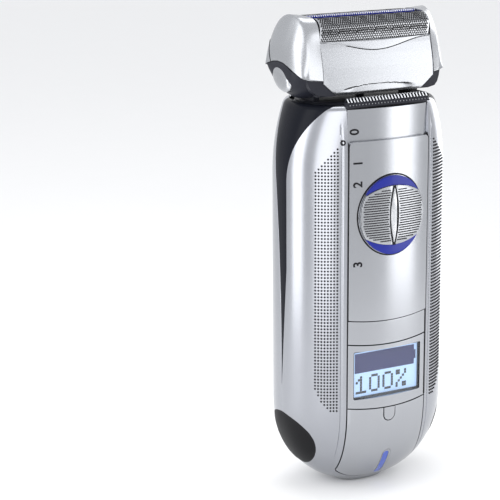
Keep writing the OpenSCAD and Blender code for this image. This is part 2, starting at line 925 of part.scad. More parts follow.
foil_wall = 0.25;
foil_z = body_h + 27.3 - foil_r;
foil_low = ring_high + foil_float + 0.3;
foil_half = cap_in - 0.15;
module foil(y) {
    color([0.35, 0.35, 0.37])
        difference() {
            union() {
                rod_x(foil_r, -foil_half, foil_half, y, foil_z);
                span([-foil_half, y - foil_r, foil_low], [foil_half, y + foil_r, foil_z]);
            }
            rod_x(foil_r - foil_wall, -far, far, y, foil_z);
            span([-far, y - foil_r + foil_wall, 0], [far, y + foil_r - foil_wall, foil_z]);
        }
}

middle_half = foil_y - foil_r - 0.15;
middle_top = body_h + 26.9;
middle_low = middle_top - 5;
middle_wall = 0.45;
module middle_trimmer() {
    color([0.2, 0.25, 0.7])
        difference() {
            span([-foil_half, -middle_half, middle_low], [foil_half, middle_half, middle_top]);
            span([-foil_half + 0.5, -middle_half + middle_wall, middle_low - 1],
                [foil_half - 0.5, middle_half - middle_wall, middle_top - middle_wall]);
        }
}

module middle_blade() {
    color([0.75, 0.76, 0.78])
        span([-foil_half + throw + 0.8, -middle_half + middle_wall + 0.15, middle_low + 0.5],
            [foil_half - throw - 0.8, middle_half - middle_wall - 0.15, middle_top - middle_wall - 0.15]);
}

// Cutters and their drive
drive_low = pivot_z - 2;
drive_deck = pivot_z + 2.4;
deck_t = 1.4;
block_low = drive_deck + deck_t + 2.4;
block_pin_r = 1.2;
module cutter_drive() {
    color([0.3, 0.3, 0.32])
        difference() {
            union() {
                span([-3.5, -6, drive_low], [3.5, 6, drive_deck]);
                span([-6, -7.4, drive_deck], [6, 7.4, drive_deck + deck_t]);
                for (side = [-1, 1])
                    rod_z(block_pin_r, 0, side * foil_y, drive_deck + deck_t, block_low + 2.6);
            }
            span([-drive_pin_r - 0.1, -4.6, drive_low - 1], [drive_pin_r + 0.1, 4.6, drive_deck]);
        }
}

cutter_r = foil_r - foil_wall - 0.12;
cutter_half = foil_half - throw - 0.6;
cutter_fins = 24;
fin_t = 0.5;
bar_half = 2.4;
bar_high = foil_z + 0.6;
module cutter_block(y) {
    color([0.7, 0.71, 0.73])
        difference() {
            union() {
                span([-cutter_half, y - bar_half, block_low], [cutter_half, y + bar_half, bar_high]);
                for (k = [0 : cutter_fins - 1]) {
                    x = -cutter_half + (2 * cutter_half - fin_t) * k / (cutter_fins - 1);
                    intersection() {
                        rod_x(cutter_r, x, x + fin_t, y, foil_z);
                        span([x - 1, y - far, foil_z - 1], [x + fin_t + 1, y + far, foil_z + far]);
                    }
                }
            }
            rod_z(block_pin_r + 0.15, 0, y, block_low - 1, block_low + 2.8 + foil_float);
        }
}

spring_r = 1.8;
wire_r = 0.2;
spring_turns = 3;
turn_steps = 12;
wire_sides = 6;
module cutter_spring(y) {
    low = drive_deck + deck_t + wire_r + 0.02;
    high = block_low - wire_r - 0.02;
    steps = spring_turns * turn_steps;
    points = [for (k = [0 : steps], j = [0 : wire_sides - 1])
        let (a = 360 * k / turn_steps, b = 360 * j / wire_sides,
            r = spring_r + wire_r * cos(b))
        [r * cos(a), y + r * sin(a), low + (high - low) * k / steps + wire_r * sin(b)]];
    sides = [for (k = [0 : steps - 1], j = [0 : wire_sides - 1])
        let (n = (j + 1) % wire_sides, base = k * wire_sides)
        [base + j, base + n, base + wire_sides + n, base + wire_sides + j]];
    start = [for (j = [wire_sides - 1 : -1 : 0]) j];
    end = [for (j = [0 : wire_sides - 1]) steps * wire_sides + j];
    color([0.8, 0.8, 0.82])
        polyhedron(points, concat(sides, [start, end]), convexity = 6);
}

front_shell();
rear_shell();
side_panel(-1);  // side_panel_left
side_panel(1);  // side_panel_right
corner_pad(-1);  // corner_pad_left
corner_pad(1);  // corner_pad_right
dot_grip(-1);  // dot_grip_left
dot_grip(1);  // dot_grip_right
lower_cover();
display_bezel();
display_window();
lcd_module();
middle_plate();
charge_light();
reset_button();
slide_panel();
switch_knob();
knob_crescents();
knob_lock_rib();
trimmer_carrier();
trimmer_comb();
trimmer_blade();
guide_plate();
neck_collar();
neck_bracket();
chassis();
battery_cells();
circuit_board();
motor();
motor_shaft();
drive_bridge();
power_inlet();
inlet_pins();
charging_contacts();
case_screws();
head_cradle();
pivot_pins();
release_button(-1);  // release_button_left
release_button(1);  // release_button_right
foil_frame();
head_front_cover();
head_rear_cover();
end_cap(-1);  // end_cap_left
end_cap(1);  // end_cap_right
foil(-foil_y);  // front_foil
foil(foil_y);  // rear_foil
middle_trimmer();
middle_blade();
cutter_drive();
cutter_block(-foil_y);  // cutter_block_front
cutter_block(foil_y);  // cutter_block_rear
cutter_spring(-foil_y);  // cutter_spring_front
cutter_spring(foil_y);  // cutter_spring_rear
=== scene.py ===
"""Electric shaver: the visible pieces, their finishes, the studio and the camera."""
import math

import bmesh
import bpy
import numpy as np
from mathutils import Matrix, Vector


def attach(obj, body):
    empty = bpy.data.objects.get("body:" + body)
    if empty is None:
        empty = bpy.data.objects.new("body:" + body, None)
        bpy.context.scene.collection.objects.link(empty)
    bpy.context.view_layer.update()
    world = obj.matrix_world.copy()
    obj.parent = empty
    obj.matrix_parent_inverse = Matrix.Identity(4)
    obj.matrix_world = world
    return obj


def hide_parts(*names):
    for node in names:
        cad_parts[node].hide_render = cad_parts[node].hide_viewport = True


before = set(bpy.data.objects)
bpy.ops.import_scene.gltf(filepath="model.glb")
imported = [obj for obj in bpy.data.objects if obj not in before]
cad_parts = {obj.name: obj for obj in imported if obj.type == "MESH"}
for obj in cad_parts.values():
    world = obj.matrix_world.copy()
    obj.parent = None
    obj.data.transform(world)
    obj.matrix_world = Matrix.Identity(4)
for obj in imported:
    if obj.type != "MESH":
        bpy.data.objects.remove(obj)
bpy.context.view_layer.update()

MM = 0.001

# ---------------------------------------------------------------- camera
VIEW_AZIMUTH = math.radians(28.79)
VIEW_HEIGHT = math.radians(13.995)
VIEW_ROLL = math.radians(0.41)
VIEW_DISTANCE = 564.0
VIEW_AIM = Vector((-41.84, 0.0, 85.6))
LENS, SENSOR = 124.3, 36.0


def make_camera():
    data = bpy.data.cameras.new("camera")
    data.lens = LENS
    data.sensor_width = SENSOR
    data.clip_start = 0.01
    data.clip_end = 20.0
    camera = bpy.data.objects.new("camera", data)
    bpy.context.scene.collection.objects.link(camera)
    away = Vector((-math.sin(VIEW_AZIMUTH) * math.cos(VIEW_HEIGHT),
                   -math.cos(VIEW_AZIMUTH) * math.cos(VIEW_HEIGHT),
                   math.sin(VIEW_HEIGHT)))
    turn = away.to_track_quat("Z", "Y").to_matrix().to_4x4()
    place = Matrix.Translation((VIEW_AIM + away * VIEW_DISTANCE) * MM)
    camera.matrix_world = place @ turn @ Matrix.Rotation(-VIEW_ROLL, 4, "Z")
    bpy.context.scene.camera = camera


make_camera()


# ---------------------------------------------------------------- finishes
def new_group(name, inputs, outputs):
    group = bpy.data.node_groups.new(name, "ShaderNodeTree")
    for label, kind, value in inputs:
        socket = group.interface.new_socket(label, in_out="INPUT", socket_type=kind)
        socket.default_value = value
    for label, kind in outputs:
        group.interface.new_socket(label, in_out="OUTPUT", socket_type=kind)
    return group, group.nodes.new("NodeGroupInput"), group.nodes.new("NodeGroupOutput")


def noise(tree, scale, detail=3.0, roughness=0.55):
    node = tree.nodes.new("ShaderNodeTexNoise")
    node.inputs["Detail"].default_value = detail
    node.inputs["Roughness"].default_value = roughness
    if not isinstance(scale, (int, float)):
        tree.links.new(scale, node.inputs["Scale"])
    else:
        node.inputs["Scale"].default_value = scale
    return node


def math_node(tree, kind, a, b):
    node = tree.nodes.new("ShaderNodeMath")
    node.operation = kind
    for socket, value in zip(node.inputs, (a, b)):
        if isinstance(value, (int, float)):
            socket.default_value = value
        else:
            tree.links.new(value, socket)
    return node.outputs[0]


def mix_colors(tree, mask, low, high, target):
    """Feeds target with a color that goes from low to high with the mask."""
    mix = tree.nodes.new("ShaderNodeMix")
    mix.data_type = "RGBA"
    for socket, source in (("Factor", mask), ("A", low), ("B", high)):
        tree.links.new(source, mix.inputs[socket])
    tree.links.new(mix.outputs["Result"], target)


def build_surface_group():
    """Small changes of colour, gloss and height over a moulded or lacquered surface."""
    group, into, out = new_group("surface_variation", [
        ("Vector", "NodeSocketVector", (0.0, 0.0, 0.0)),
        ("Base", "NodeSocketColor", (0.5, 0.5, 0.5, 1.0)),
        ("Worn", "NodeSocketColor", (0.6, 0.6, 0.6, 1.0)),
        ("Amount", "NodeSocketFloat", 0.3),
        ("Grain Scale", "NodeSocketFloat", 900.0),
        ("Roughness", "NodeSocketFloat", 0.4),
        ("Spread", "NodeSocketFloat", 0.1),
    ], [
        ("Color", "NodeSocketColor"),
        ("Roughness", "NodeSocketFloat"),
        ("Height", "NodeSocketFloat"),
    ])
    broad = noise(group, 38.0, 4.0)
    fine = noise(group, into.outputs["Grain Scale"], 2.0)
    for node in (broad, fine):
        group.links.new(into.outputs["Vector"], node.inputs["Vector"])
    mask = math_node(group, "MULTIPLY", broad.outputs["Fac"], into.outputs["Amount"])
    mix_colors(group, mask, into.outputs["Base"], into.outputs["Worn"], out.inputs["Color"])
    both = math_node(group, "ADD", broad.outputs["Fac"], fine.outputs["Fac"])
    centred = math_node(group, "SUBTRACT", both, 1.0)
    swing = math_node(group, "MULTIPLY", centred, into.outputs["Spread"])
    rough = math_node(group, "ADD", into.outputs["Roughness"], swing)
    group.links.new(rough, out.inputs["Roughness"])
    group.links.new(fine.outputs["Fac"], out.inputs["Height"])
    return group


SURFACE = build_surface_group()


def build_wear_group():
    """A mask that is high along edges and corners, where handling polishes a finish."""
    group, into, out = new_group("edge_polish", [
        ("Color", "NodeSocketColor", (0.5, 0.5, 0.5, 1.0)),
        ("Polished", "NodeSocketColor", (0.9, 0.9, 0.9, 1.0)),
        ("Strength", "NodeSocketFloat", 0.5),
    ], [("Color", "NodeSocketColor")])
    geometry = group.nodes.new("ShaderNodeNewGeometry")
    ramp = group.nodes.new("ShaderNodeMapRange")
    ramp.inputs["From Min"].default_value = 0.5
    ramp.inputs["From Max"].default_value = 0.62
    group.links.new(geometry.outputs["Pointiness"], ramp.inputs["Value"])
    mask = math_node(group, "MULTIPLY", ramp.outputs["Result"], into.outputs["Strength"])
    mix_colors(group, mask, into.outputs["Color"], into.outputs["Polished"], out.inputs["Color"])
    return group


WEAR = build_wear_group()


def rgba(color):
    return tuple(color) + (1.0,)


def finish(name, base, worn, amount=0.4, grain=1200.0, stretch=(1.0, 1.0, 1.0), roughness=0.4,
           spread=0.08, bump=0.02, polish=0.0, metallic=0.0, coat=0.0, coat_roughness=0.1,
           alpha=1.0, glow=0.0, specular=0.5):
    material = bpy.data.materials.new(name)
    material.use_nodes = True
    tree = material.node_tree
    shader = tree.nodes["Principled BSDF"]
    place = tree.nodes.new("ShaderNodeTexCoord")
    mapping = tree.nodes.new("ShaderNodeMapping")
    mapping.inputs["Scale"].default_value = stretch
    tree.links.new(place.outputs["Object"], mapping.inputs["Vector"])
    group = tree.nodes.new("ShaderNodeGroup")
    group.node_tree = SURFACE
    for label, value in (("Base", rgba(base)), ("Worn", rgba(worn)), ("Amount", amount),
                         ("Grain Scale", grain), ("Roughness", roughness), ("Spread", spread)):
        group.inputs[label].default_value = value
    tree.links.new(mapping.outputs["Vector"], group.inputs["Vector"])
    color = group.outputs["Color"]
    if polish > 0:
        wear = tree.nodes.new("ShaderNodeGroup")
        wear.node_tree = WEAR
        wear.inputs["Polished"].default_value = rgba([min(1.0, c * 1.25 + 0.03) for c in base])
        wear.inputs["Strength"].default_value = polish
        tree.links.new(color, wear.inputs["Color"])
        color = wear.outputs["Color"]
    tree.links.new(color, shader.inputs["Base Color"])
    tree.links.new(group.outputs["Roughness"], shader.inputs["Roughness"])
    if bump > 0:
        bumps = tree.nodes.new("ShaderNodeBump")
        bumps.inputs["Strength"].default_value = bump
        bumps.inputs["Distance"].default_value = 0.0002
        tree.links.new(group.outputs["Height"], bumps.inputs["Height"])
        tree.links.new(bumps.outputs["Normal"], shader.inputs["Normal"])
    for label, value in (("Metallic", metallic), ("Coat Weight", coat), ("Coat Roughness", coat_roughness),
                         ("Specular IOR Level", specular), ("Alpha", alpha)):
        shader.inputs[label].default_value = value
    if glow > 0:
        tree.links.new(color, shader.inputs["Emission Color"])
        shader.inputs["Emission Strength"].default_value = glow
    return material


SILVER = finish("silver_lacquer", (0.345, 0.355, 0.385), (0.40, 0.41, 0.44), amount=0.5, grain=2600,
                roughness=0.24, spread=0.05, bump=0.03, polish=0.4, metallic=0.95, coat=0.15,
                coat_roughness=0.08)
PLATE = finish("brushed_plate", (0.37, 0.38, 0.405), (0.425, 0.435, 0.455), amount=0.5, grain=700,
               stretch=(9.0, 9.0, 0.5), roughness=0.22, spread=0.06, bump=0.04, polish=0.4,
               metallic=0.96, coat=0.15, coat_roughness=0.08)
WHITE_SILVER = finish("pale_silver", (0.375, 0.385, 0.405), (0.43, 0.44, 0.46), amount=0.5, grain=2600,
                      roughness=0.27, spread=0.05, bump=0.02, polish=0.3, metallic=0.9, coat=0.2)
GLOSS_BLACK = finish("gloss_black", (0.005, 0.006, 0.010), (0.009, 0.010, 0.015), amount=0.6,
                     roughness=0.24, spread=0.06, bump=0.01, polish=0.15, coat=0.0, specular=0.08)
# Dark plastic; also painted shade for the slits of the middle trimmer.
DARK = finish("dark_plastic", (0.010, 0.011, 0.017), (0.018, 0.019, 0.027), amount=0.6, grain=3000,
              roughness=0.36, spread=0.1, bump=0.05, polish=0.3, coat=0.0, specular=0.16)
RUBBER = finish("soft_rubber", (0.005, 0.005, 0.006), (0.011, 0.011, 0.013), amount=0.7, grain=3600,
                roughness=0.5, spread=0.12, bump=0.12, polish=0.15, specular=0.14)
# Black rubber for the grip dots; also painted shade for the foil holes and the knob's knurling.
RUBBER_DOTS_AND_SHADE = finish("rubber_dots_and_painted_shade", (0.008, 0.008, 0.01), (0.02, 0.02, 0.022), amount=0.5,
                    roughness=0.5, bump=0.0, specular=0.2)
# Black for print, parting lines and the display mask; also painted shade in the gaps around the knob and the
# rib and beside the sliding plates.
INK_AND_GAP_SHADE = finish("black_print_and_painted_gap_shade", (0.006, 0.006, 0.008), (0.012, 0.012, 0.014), roughness=0.5, bump=0.0,
             specular=0.2)
BLUE = finish("blue_plastic", (0.008, 0.014, 0.20), (0.02, 0.035, 0.32), amount=0.6, grain=2600,
              roughness=0.22, spread=0.06, bump=0.02, polish=0.4, coat=0.1, specular=0.22)
LIGHT_BLUE = finish("light_blue_lens", (0.015, 0.035, 0.24), (0.06, 0.12, 0.5), amount=0.8,
                    roughness=0.15, bump=0.0, coat=0.5, glow=0.12)
LCD_PALE = finish("display_ground", (0.34, 0.50, 0.76), (0.42, 0.58, 0.82), amount=0.5, grain=500,
                  roughness=0.35, bump=0.0, glow=0.32)
LCD_INK = finish("display_ink", (0.010, 0.011, 0.085), (0.02, 0.02, 0.13), amount=0.5, roughness=0.5,
                 bump=0.0, specular=0.1)
CLEAR = finish("clear_window", (0.8, 0.86, 0.95), (0.86, 0.9, 0.97), roughness=0.06, spread=0.02,
               bump=0.0, alpha=0.06, coat=0.15, coat_roughness=0.03)
FOIL = finish("foil_steel", (0.40, 0.41, 0.43), (0.5, 0.51, 0.53), amount=0.6, grain=900,
              roughness=0.22, spread=0.08, bump=0.03, metallic=1.0)
STEEL = finish("ground_steel", (0.58, 0.59, 0.61), (0.7, 0.71, 0.73), amount=0.6, grain=600,
               stretch=(1.0, 1.0, 8.0), roughness=0.28, spread=0.1, bump=0.05, polish=0.3,
               metallic=1.0)
BRASS = finish("contact_brass", (0.72, 0.5, 0.2), (0.8, 0.6, 0.3), roughness=0.3, bump=0.02,
               metallic=1.0)
CELL = finish("cell_sleeve", (0.03, 0.2, 0.08), (0.05, 0.27, 0.12), roughness=0.35, bump=0.02,
              coat=0.3)
BOARD = finish("board_lacquer", (0.01, 0.11, 0.045), (0.02, 0.17, 0.07), amount=0.8, grain=500,
               roughness=0.4, bump=0.1, coat=0.2)


# ---------------------------------------------------------------- mesh tools
def hand(side):
    """The name of a side: -1 is the left one, 1 the right one."""
    return "left" if side < 0 else "right"


def link(obj):
    bpy.context.scene.collection.objects.link(obj)
    return obj


def applied(obj):
    """The evaluated mesh in place of the object's own, with no modifier left."""
    graph = bpy.context.evaluated_depsgraph_get()
    data = bpy.data.meshes.new_from_object(obj.evaluated_get(graph))
    obj.modifiers.clear()
    obj.data = data
    return obj


def mesh_object(name, verts, faces, material, smooth=35.0, bevel=0.0, merge=True):
    """Builds a piece from points in millimetres."""
    data = bpy.data.meshes.new(name)
    data.from_pydata([tuple(c * MM for c in v) for v in verts], [], faces)
    form = bmesh.new()
    form.from_mesh(data)
    if merge:
        bmesh.ops.remove_doubles(form, verts=form.verts, dist=2e-6)
        bmesh.ops.dissolve_degenerate(form, edges=form.edges, dist=1e-7)
    bmesh.ops.recalc_face_normals(form, faces=form.faces)
    form.to_mesh(data)
    form.free()
    data.materials.append(material)
    data.shade_smooth()
    data.set_sharp_from_angle(angle=math.radians(smooth))
    obj = link(bpy.data.objects.new(name, data))
    if bevel > 0:
        add_bevel(obj, bevel)
    return obj


def add_bevel(obj, width, segments=2, angle=35.0):
    edge = obj.modifiers.new("edge", "BEVEL")
    edge.width = width * MM
    edge.segments = segments
    edge.limit_method = "ANGLE"
    edge.angle_limit = math.radians(angle)
    edge.harden_normals = True
    edge.use_clamp_overlap = True


def cut(obj, *cutters, keep=False):
    """Takes the cutters' space out of the piece, or keeps only the space they share."""
    for tool in cutters:
        step = obj.modifiers.new("cut", "BOOLEAN")
        step.operation = "INTERSECT" if keep else "DIFFERENCE"
        step.solver = "EXACT"
        step.object = tool
    applied(obj)
    for tool in cutters:
        bpy.data.objects.remove(tool)
    obj.data.shade_smooth()
    obj.data.set_sharp_from_angle(angle=math.radians(35))
    return obj


def piece(obj, body, slot, *nodes):
    if obj.modifiers:
        applied(obj)
    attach(obj, body)
    if nodes:
        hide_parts(*nodes)
    return obj


def joined(parts):
    """The points, in millimetres, and the faces of several objects, which are removed."""
    verts, faces = [], []
    for obj in parts:
        if obj.modifiers:
            applied(obj)
        shift = len(verts)
        verts += [tuple(c / MM for c in v.co) for v in obj.data.vertices]
        faces += [tuple(shift + i for i in p.vertices) for p in obj.data.polygons]
        bpy.data.objects.remove(obj)
    return verts, faces


def ring_faces(loops, count, closed=False, ends=True):
    """Faces between loops of count points each, laid out one after another."""
    faces = []
    steps = loops if closed else loops - 1
    for k in range(steps):
        low, high = k * count, ((k + 1) % loops) * count
        for j in range(count):
            n = (j + 1) % count
            faces.append((low + j, low + n, high + n, high + j))
    if ends and not closed:
        faces.append(tuple(range(count)))
        faces.append(tuple(range((loops - 1) * count, loops * count)))
    return faces


def grid_solid(grid, depth, centre=(0.0, 0.0), open_edge=None):
    """A closed piece from a grid of outer points and a wall that goes inwards by depth."""
    outer = np.array(grid, float)
    rows, cols = outer.shape[:2]
    along = np.gradient(outer, axis=1)
    up = np.gradient(outer, axis=0)
    normal = np.cross(along, up)
    size = np.linalg.norm(normal, axis=2, keepdims=True)
    normal = normal / np.maximum(size, 1e-12)
    away = outer - np.array([centre[0], centre[1], 0.0])
    away[:, :, 2] = 0.0
    if (normal * away).sum() < 0:
        normal = -normal
    if open_edge is not None:
        for k in range(rows):
            if open_edge(outer[k]):
                normal[k, -1, 0] = 0.0
    inner = outer - normal * np.asarray(depth, float).reshape(-1, 1, 1)
    verts = np.concatenate([outer.reshape(-1, 3), inner.reshape(-1, 3)]).tolist()
    shift = rows * cols
    faces = []
    for k in range(rows - 1):
        for j in range(cols - 1):
            a, b, c, d = k * cols + j, k * cols + j + 1, (k + 1) * cols + j + 1, (k + 1) * cols + j
            faces += [(a, b, c, d), (shift + a, shift + d, shift + c, shift + b)]
    for j in range(cols - 1):
        for k in (0, rows - 1):
            a, b = k * cols + j, k * cols + j + 1
            faces.append((a, b, shift + b, shift + a))
    for k in range(rows - 1):
        for j in (0, cols - 1):
            if j and open_edge is not None and open_edge(outer[k]) and open_edge(outer[k + 1]):
                continue
            a, b = k * cols + j, (k + 1) * cols + j
            faces.append((a, b, shift + b, shift + a))
    return verts, faces


def solid(name, grid, depth, material, centre=(0.0, 0.0), **options):
    verts, faces = grid_solid(grid, depth, centre)
    return mesh_object(name, verts, faces, material, **options)


def prism_y(name, outline, from_y, to_y):
    """A plain cutter: an outline in x and z, drawn out along y."""
    count = len(outline)
    verts = [(x, from_y, z) for x, z in outline] + [(x, to_y, z) for x, z in outline]
    return mesh_object(name, verts, ring_faces(2, count), INK_AND_GAP_SHADE, merge=False)


def stadium(x, low, high, r, steps=14):
    points = []
    for k in range(steps + 1):
        a = math.pi * k / steps
        points.append((x + r * math.cos(a), high - r + r * math.sin(a)))
    for k in range(steps + 1):
        a = math.pi + math.pi * k / steps
        points.append((x + r * math.cos(a), low + r + r * math.sin(a)))
    return points


def rounded_rect(x0, x1, z0, z1, r, steps=5):
    points = []
    for cx, cz, start in ((x1 - r, z1 - r, 0), (x0 + r, z1 - r, 90), (x0 + r, z0 + r, 180),
                          (x1 - r, z0 + r, 270)):
        for k in range(steps + 1):
            a = math.radians(start + 90 * k / steps)
            points.append((cx + r * math.cos(a), cz + r * math.sin(a)))
    return points


# ---------------------------------------------------------------- repeated detail
def build_stud_tree():
    """Small tapered studs, one on each point, turned to face the way the point's aim says."""
    tree = bpy.data.node_groups.new("studs_on_points", "GeometryNodeTree")
    face = tree.interface
    face.new_socket("Geometry", in_out="INPUT", socket_type="NodeSocketGeometry")
    for label, kind, value in (("Radius", "NodeSocketFloat", 0.0003), ("Height", "NodeSocketFloat", 0.0002),
                               ("Taper", "NodeSocketFloat", 0.6), ("Sides", "NodeSocketInt", 8),
                               ("Stretch", "NodeSocketVector", (1.0, 1.0, 1.0))):
        face.new_socket(label, in_out="INPUT", socket_type=kind).default_value = value
    face.new_socket("Material", in_out="INPUT", socket_type="NodeSocketMaterial")
    face.new_socket("Geometry", in_out="OUTPUT", socket_type="NodeSocketGeometry")
    into, out = tree.nodes.new("NodeGroupInput"), tree.nodes.new("NodeGroupOutput")

    def add(kind, **settings):
        node = tree.nodes.new(kind)
        for setting, value in settings.items():
            setattr(node, setting, value)
        return node
    cone = add("GeometryNodeMeshCone")
    top = add("ShaderNodeMath", operation="MULTIPLY")
    aim = add("GeometryNodeInputNamedAttribute", data_type="FLOAT_VECTOR")
    aim.inputs["Name"].default_value = "aim"
    spin = add("GeometryNodeInputNamedAttribute", data_type="FLOAT")
    spin.inputs["Name"].default_value = "spin"
    align = add("FunctionNodeAlignRotationToVector", axis="Z")
    level = add("FunctionNodeAlignRotationToVector", axis="X", pivot_axis="Z")
    level.inputs["Vector"].default_value = (1.0, 0.0, 0.0)
    turn = add("FunctionNodeAxisAngleToRotation")
    turn.inputs["Axis"].default_value = (0.0, 0.0, 1.0)
    both = add("FunctionNodeRotateRotation", rotation_space="LOCAL")
    place = add("GeometryNodeInstanceOnPoints")
    real = add("GeometryNodeRealizeInstances")
    paint = add("GeometryNodeSetMaterial")
    for source, output, target, socket in (
            (into, "Radius", top, 0), (into, "Taper", top, 1), (into, "Sides", cone, "Vertices"),
            (into, "Radius", cone, "Radius Bottom"), (top, 0, cone, "Radius Top"),
            (into, "Height", cone, "Depth"), (aim, "Attribute", align, "Vector"),
            (align, "Rotation", level, "Rotation"), (spin, "Attribute", turn, "Angle"),
            (level, "Rotation", both, "Rotation"), (turn, "Rotation", both, "Rotate By"),
            (into, "Geometry", place, "Points"), (cone, "Mesh", place, "Instance"),
            (both, "Rotation", place, "Rotation"), (into, "Stretch", place, "Scale"),
            (place, "Instances", real, "Geometry"), (real, "Geometry", paint, "Geometry"),
            (into, "Material", paint, "Material"), (paint, "Geometry", out, "Geometry")):
        tree.links.new(source.outputs[output], target.inputs[socket])
    return tree


STUDS = build_stud_tree()
STUD_INPUTS = {item.name: item.identifier for item in STUDS.interface.items_tree
               if item.item_type == "SOCKET" and item.in_out == "INPUT"}


def studs(name, spots, material, radius, height, taper=0.6, sides=8, stretch=(1.0, 1.0, 1.0)):
    """spots holds (point, aim, spin) with points in millimetres."""
    data = bpy.data.meshes.new(name)
    data.from_pydata([tuple(c * MM for c in p) for p, _, _ in spots], [], [])
    aim = data.attributes.new("aim", "FLOAT_VECTOR", "POINT")
    aim.data.foreach_set("vector", [c for _, a, _ in spots for c in a])
    spin = data.attributes.new("spin", "FLOAT", "POINT")
    spin.data.foreach_set("value", [s for _, _, s in spots])
    obj = link(bpy.data.objects.new(name, data))
    step = obj.modifiers.new("studs", "NODES")
    step.node_group = STUDS
    for label, value in (("Radius", radius * MM), ("Height", height * MM), ("Taper", taper),
                         ("Sides", sides), ("Stretch", stretch), ("Material", material)):
        step[STUD_INPUTS[label]] = value
    applied(obj)
    for attribute in ("aim", "spin"):
        if attribute in obj.data.attributes:
            obj.data.attributes.remove(obj.data.attributes[attribute])
    obj.data.set_sharp_from_angle(angle=math.radians(35))
    return obj


# ---------------------------------------------------------------- body form
HALF_W, FRONT_D, BACK_D, BODY_H = 30.0, 20.0, 21.5, 133.0
ROUND, ROUND_POWER, SECTION_POWER = 31.0, 2.2, 2.3
SHOULDER_Z, SHOULDER_H, SHOULDER_IN = 108.0, 25.0, 5.0
INLAY_TIP, STRIPE, STRIPE_END = 37.0, 3.0, 78.0
INLAY_FRONT, INLAY_BACK = 14.0, 8.5
SEAM = 0.1
BASE_SHARES = (0.25, 0.3, 0.35, 0.4, 0.44, 0.4886, 0.495, 0.505, 0.52, 0.54, 0.56, 0.6, 0.64,
               0.68, 0.72, 0.76, 0.8, 0.84, 0.88, 0.91, 0.94, 0.965, 0.985, 0.996)
SIDE_HEIGHTS = (31.0, 34, 37, 40, 45, 50, 56, 62, 68, 74, 78, 84, 90, 96, 102, 106, 108)
TOP_HEIGHTS = (110.0, 112, 114, 116, 118, 120, 122, 124, 126, 128, 129.5, 130.7)
LIP = ((0.0, 131.4), (0.15, 132.1), (0.5, 132.65), (1.0, 132.93), (1.5, 133.0))


def smoothstep(low, high, x):
    t = min(1.0, max(0.0, (x - low) / (high - low)))
    return t * t * (3 - 2 * t)


def shoulder(z):
    return 0.0 if z < SHOULDER_Z else SHOULDER_IN * ((z - SHOULDER_Z) / SHOULDER_H) ** 2.2


def share_at(z):
    if z >= ROUND:
        return 1.0
    return (1 - ((ROUND - z) / ROUND) ** ROUND_POWER) ** (1 / ROUND_POWER)


def base_height(share):
    true = ROUND * (1 - (1 - share ** ROUND_POWER) ** (1 / ROUND_POWER))
    return true * smoothstep(0.26, 0.38, share)


def body_levels():
    """Each level is (half width, front depth, back depth, height)."""
    levels = [(HALF_W * s, FRONT_D * s, BACK_D * s, base_height(s)) for s in BASE_SHARES]
    for z in SIDE_HEIGHTS + TOP_HEIGHTS:
        levels.append((HALF_W - shoulder(z), FRONT_D, BACK_D, float(z)))
    for back, z in LIP:
        levels.append((HALF_W - shoulder(z) - back, FRONT_D - back, BACK_D - back, z))
    return levels


LEVELS = body_levels()


def section_y(x, w, d):
    return d * max(0.0, 1 - (abs(x) / w) ** SECTION_POWER) ** (1 / SECTION_POWER)


def section_at(angle, w, d):
    half = SECTION_POWER / 2
    return w * math.cos(angle) ** (1 / half), d * math.sin(angle) ** (1 / half)


def angle_of_x(x, w):
    return math.acos(min(1.0, (x / w) ** (SECTION_POWER / 2)))


def angle_of_y(y, d):
    return math.asin(min(1.0, (abs(y) / d) ** (SECTION_POWER / 2)))


def front_surface(x, z):
    share = share_at(z)
    return -section_y(x, HALF_W * share - shoulder(z), FRONT_D * share)


def front_normal(x, z):
    step = 0.05
    slope_x = (front_surface(x + step, z) - front_surface(x - step, z)) / (2 * step)
    slope_z = (front_surface(x, z + step) - front_surface(x, z - step)) / (2 * step)
    return Vector((slope_x, -1.0, slope_z)).normalized()


def front_seam(z):
    if z < INLAY_TIP:
        return 0.0
    over = max(0.0, (z - SHOULDER_Z) / SHOULDER_H)
    return -STRIPE * min(1.0, (z - INLAY_TIP) / (STRIPE_END - INLAY_TIP)) \
        - (INLAY_FRONT - STRIPE) * over ** 1.8


def back_seam(z):
    return 0.0 if z < INLAY_TIP else INLAY_BACK * ((z - INLAY_TIP) / (BODY_H - INLAY_TIP)) ** 2.5


# ---------------------------------------------------------------- casings
CHANNEL_HALF = 15.6
CHANNEL_LOW, CHANNEL_RISE = 3.1, 4.4
EDGE_OFFSETS = (0.0, 0.5, 1.0, 1.3, 1.45, 1.6, 1.75, 1.9, 2.05, 2.4, 3.0)
GROOVE = {1.45: 0.16, 1.6: 0.26, 1.75: 0.26, 1.9: 0.16}
WING_STEPS = 26
WALL = 1.8
LIP_WALL = (1.7, 1.6, 1.4, 1.2, 1.0)
SCREW_X, SCREW_Z, SCREW_HOLE = 12, (47.0, 107.0), 2.6
CONTACT_X, CONTACT_Z, CONTACT_HOLE = 5, 37.0, 2.0


def channel_limit(z):
    if z <= CHANNEL_LOW + 1e-3:
        return 0.0
    if z >= CHANNEL_LOW + CHANNEL_RISE:
        return CHANNEL_HALF
    return CHANNEL_HALF * ((z - CHANNEL_LOW) / CHANNEL_RISE) ** (1 / 3)


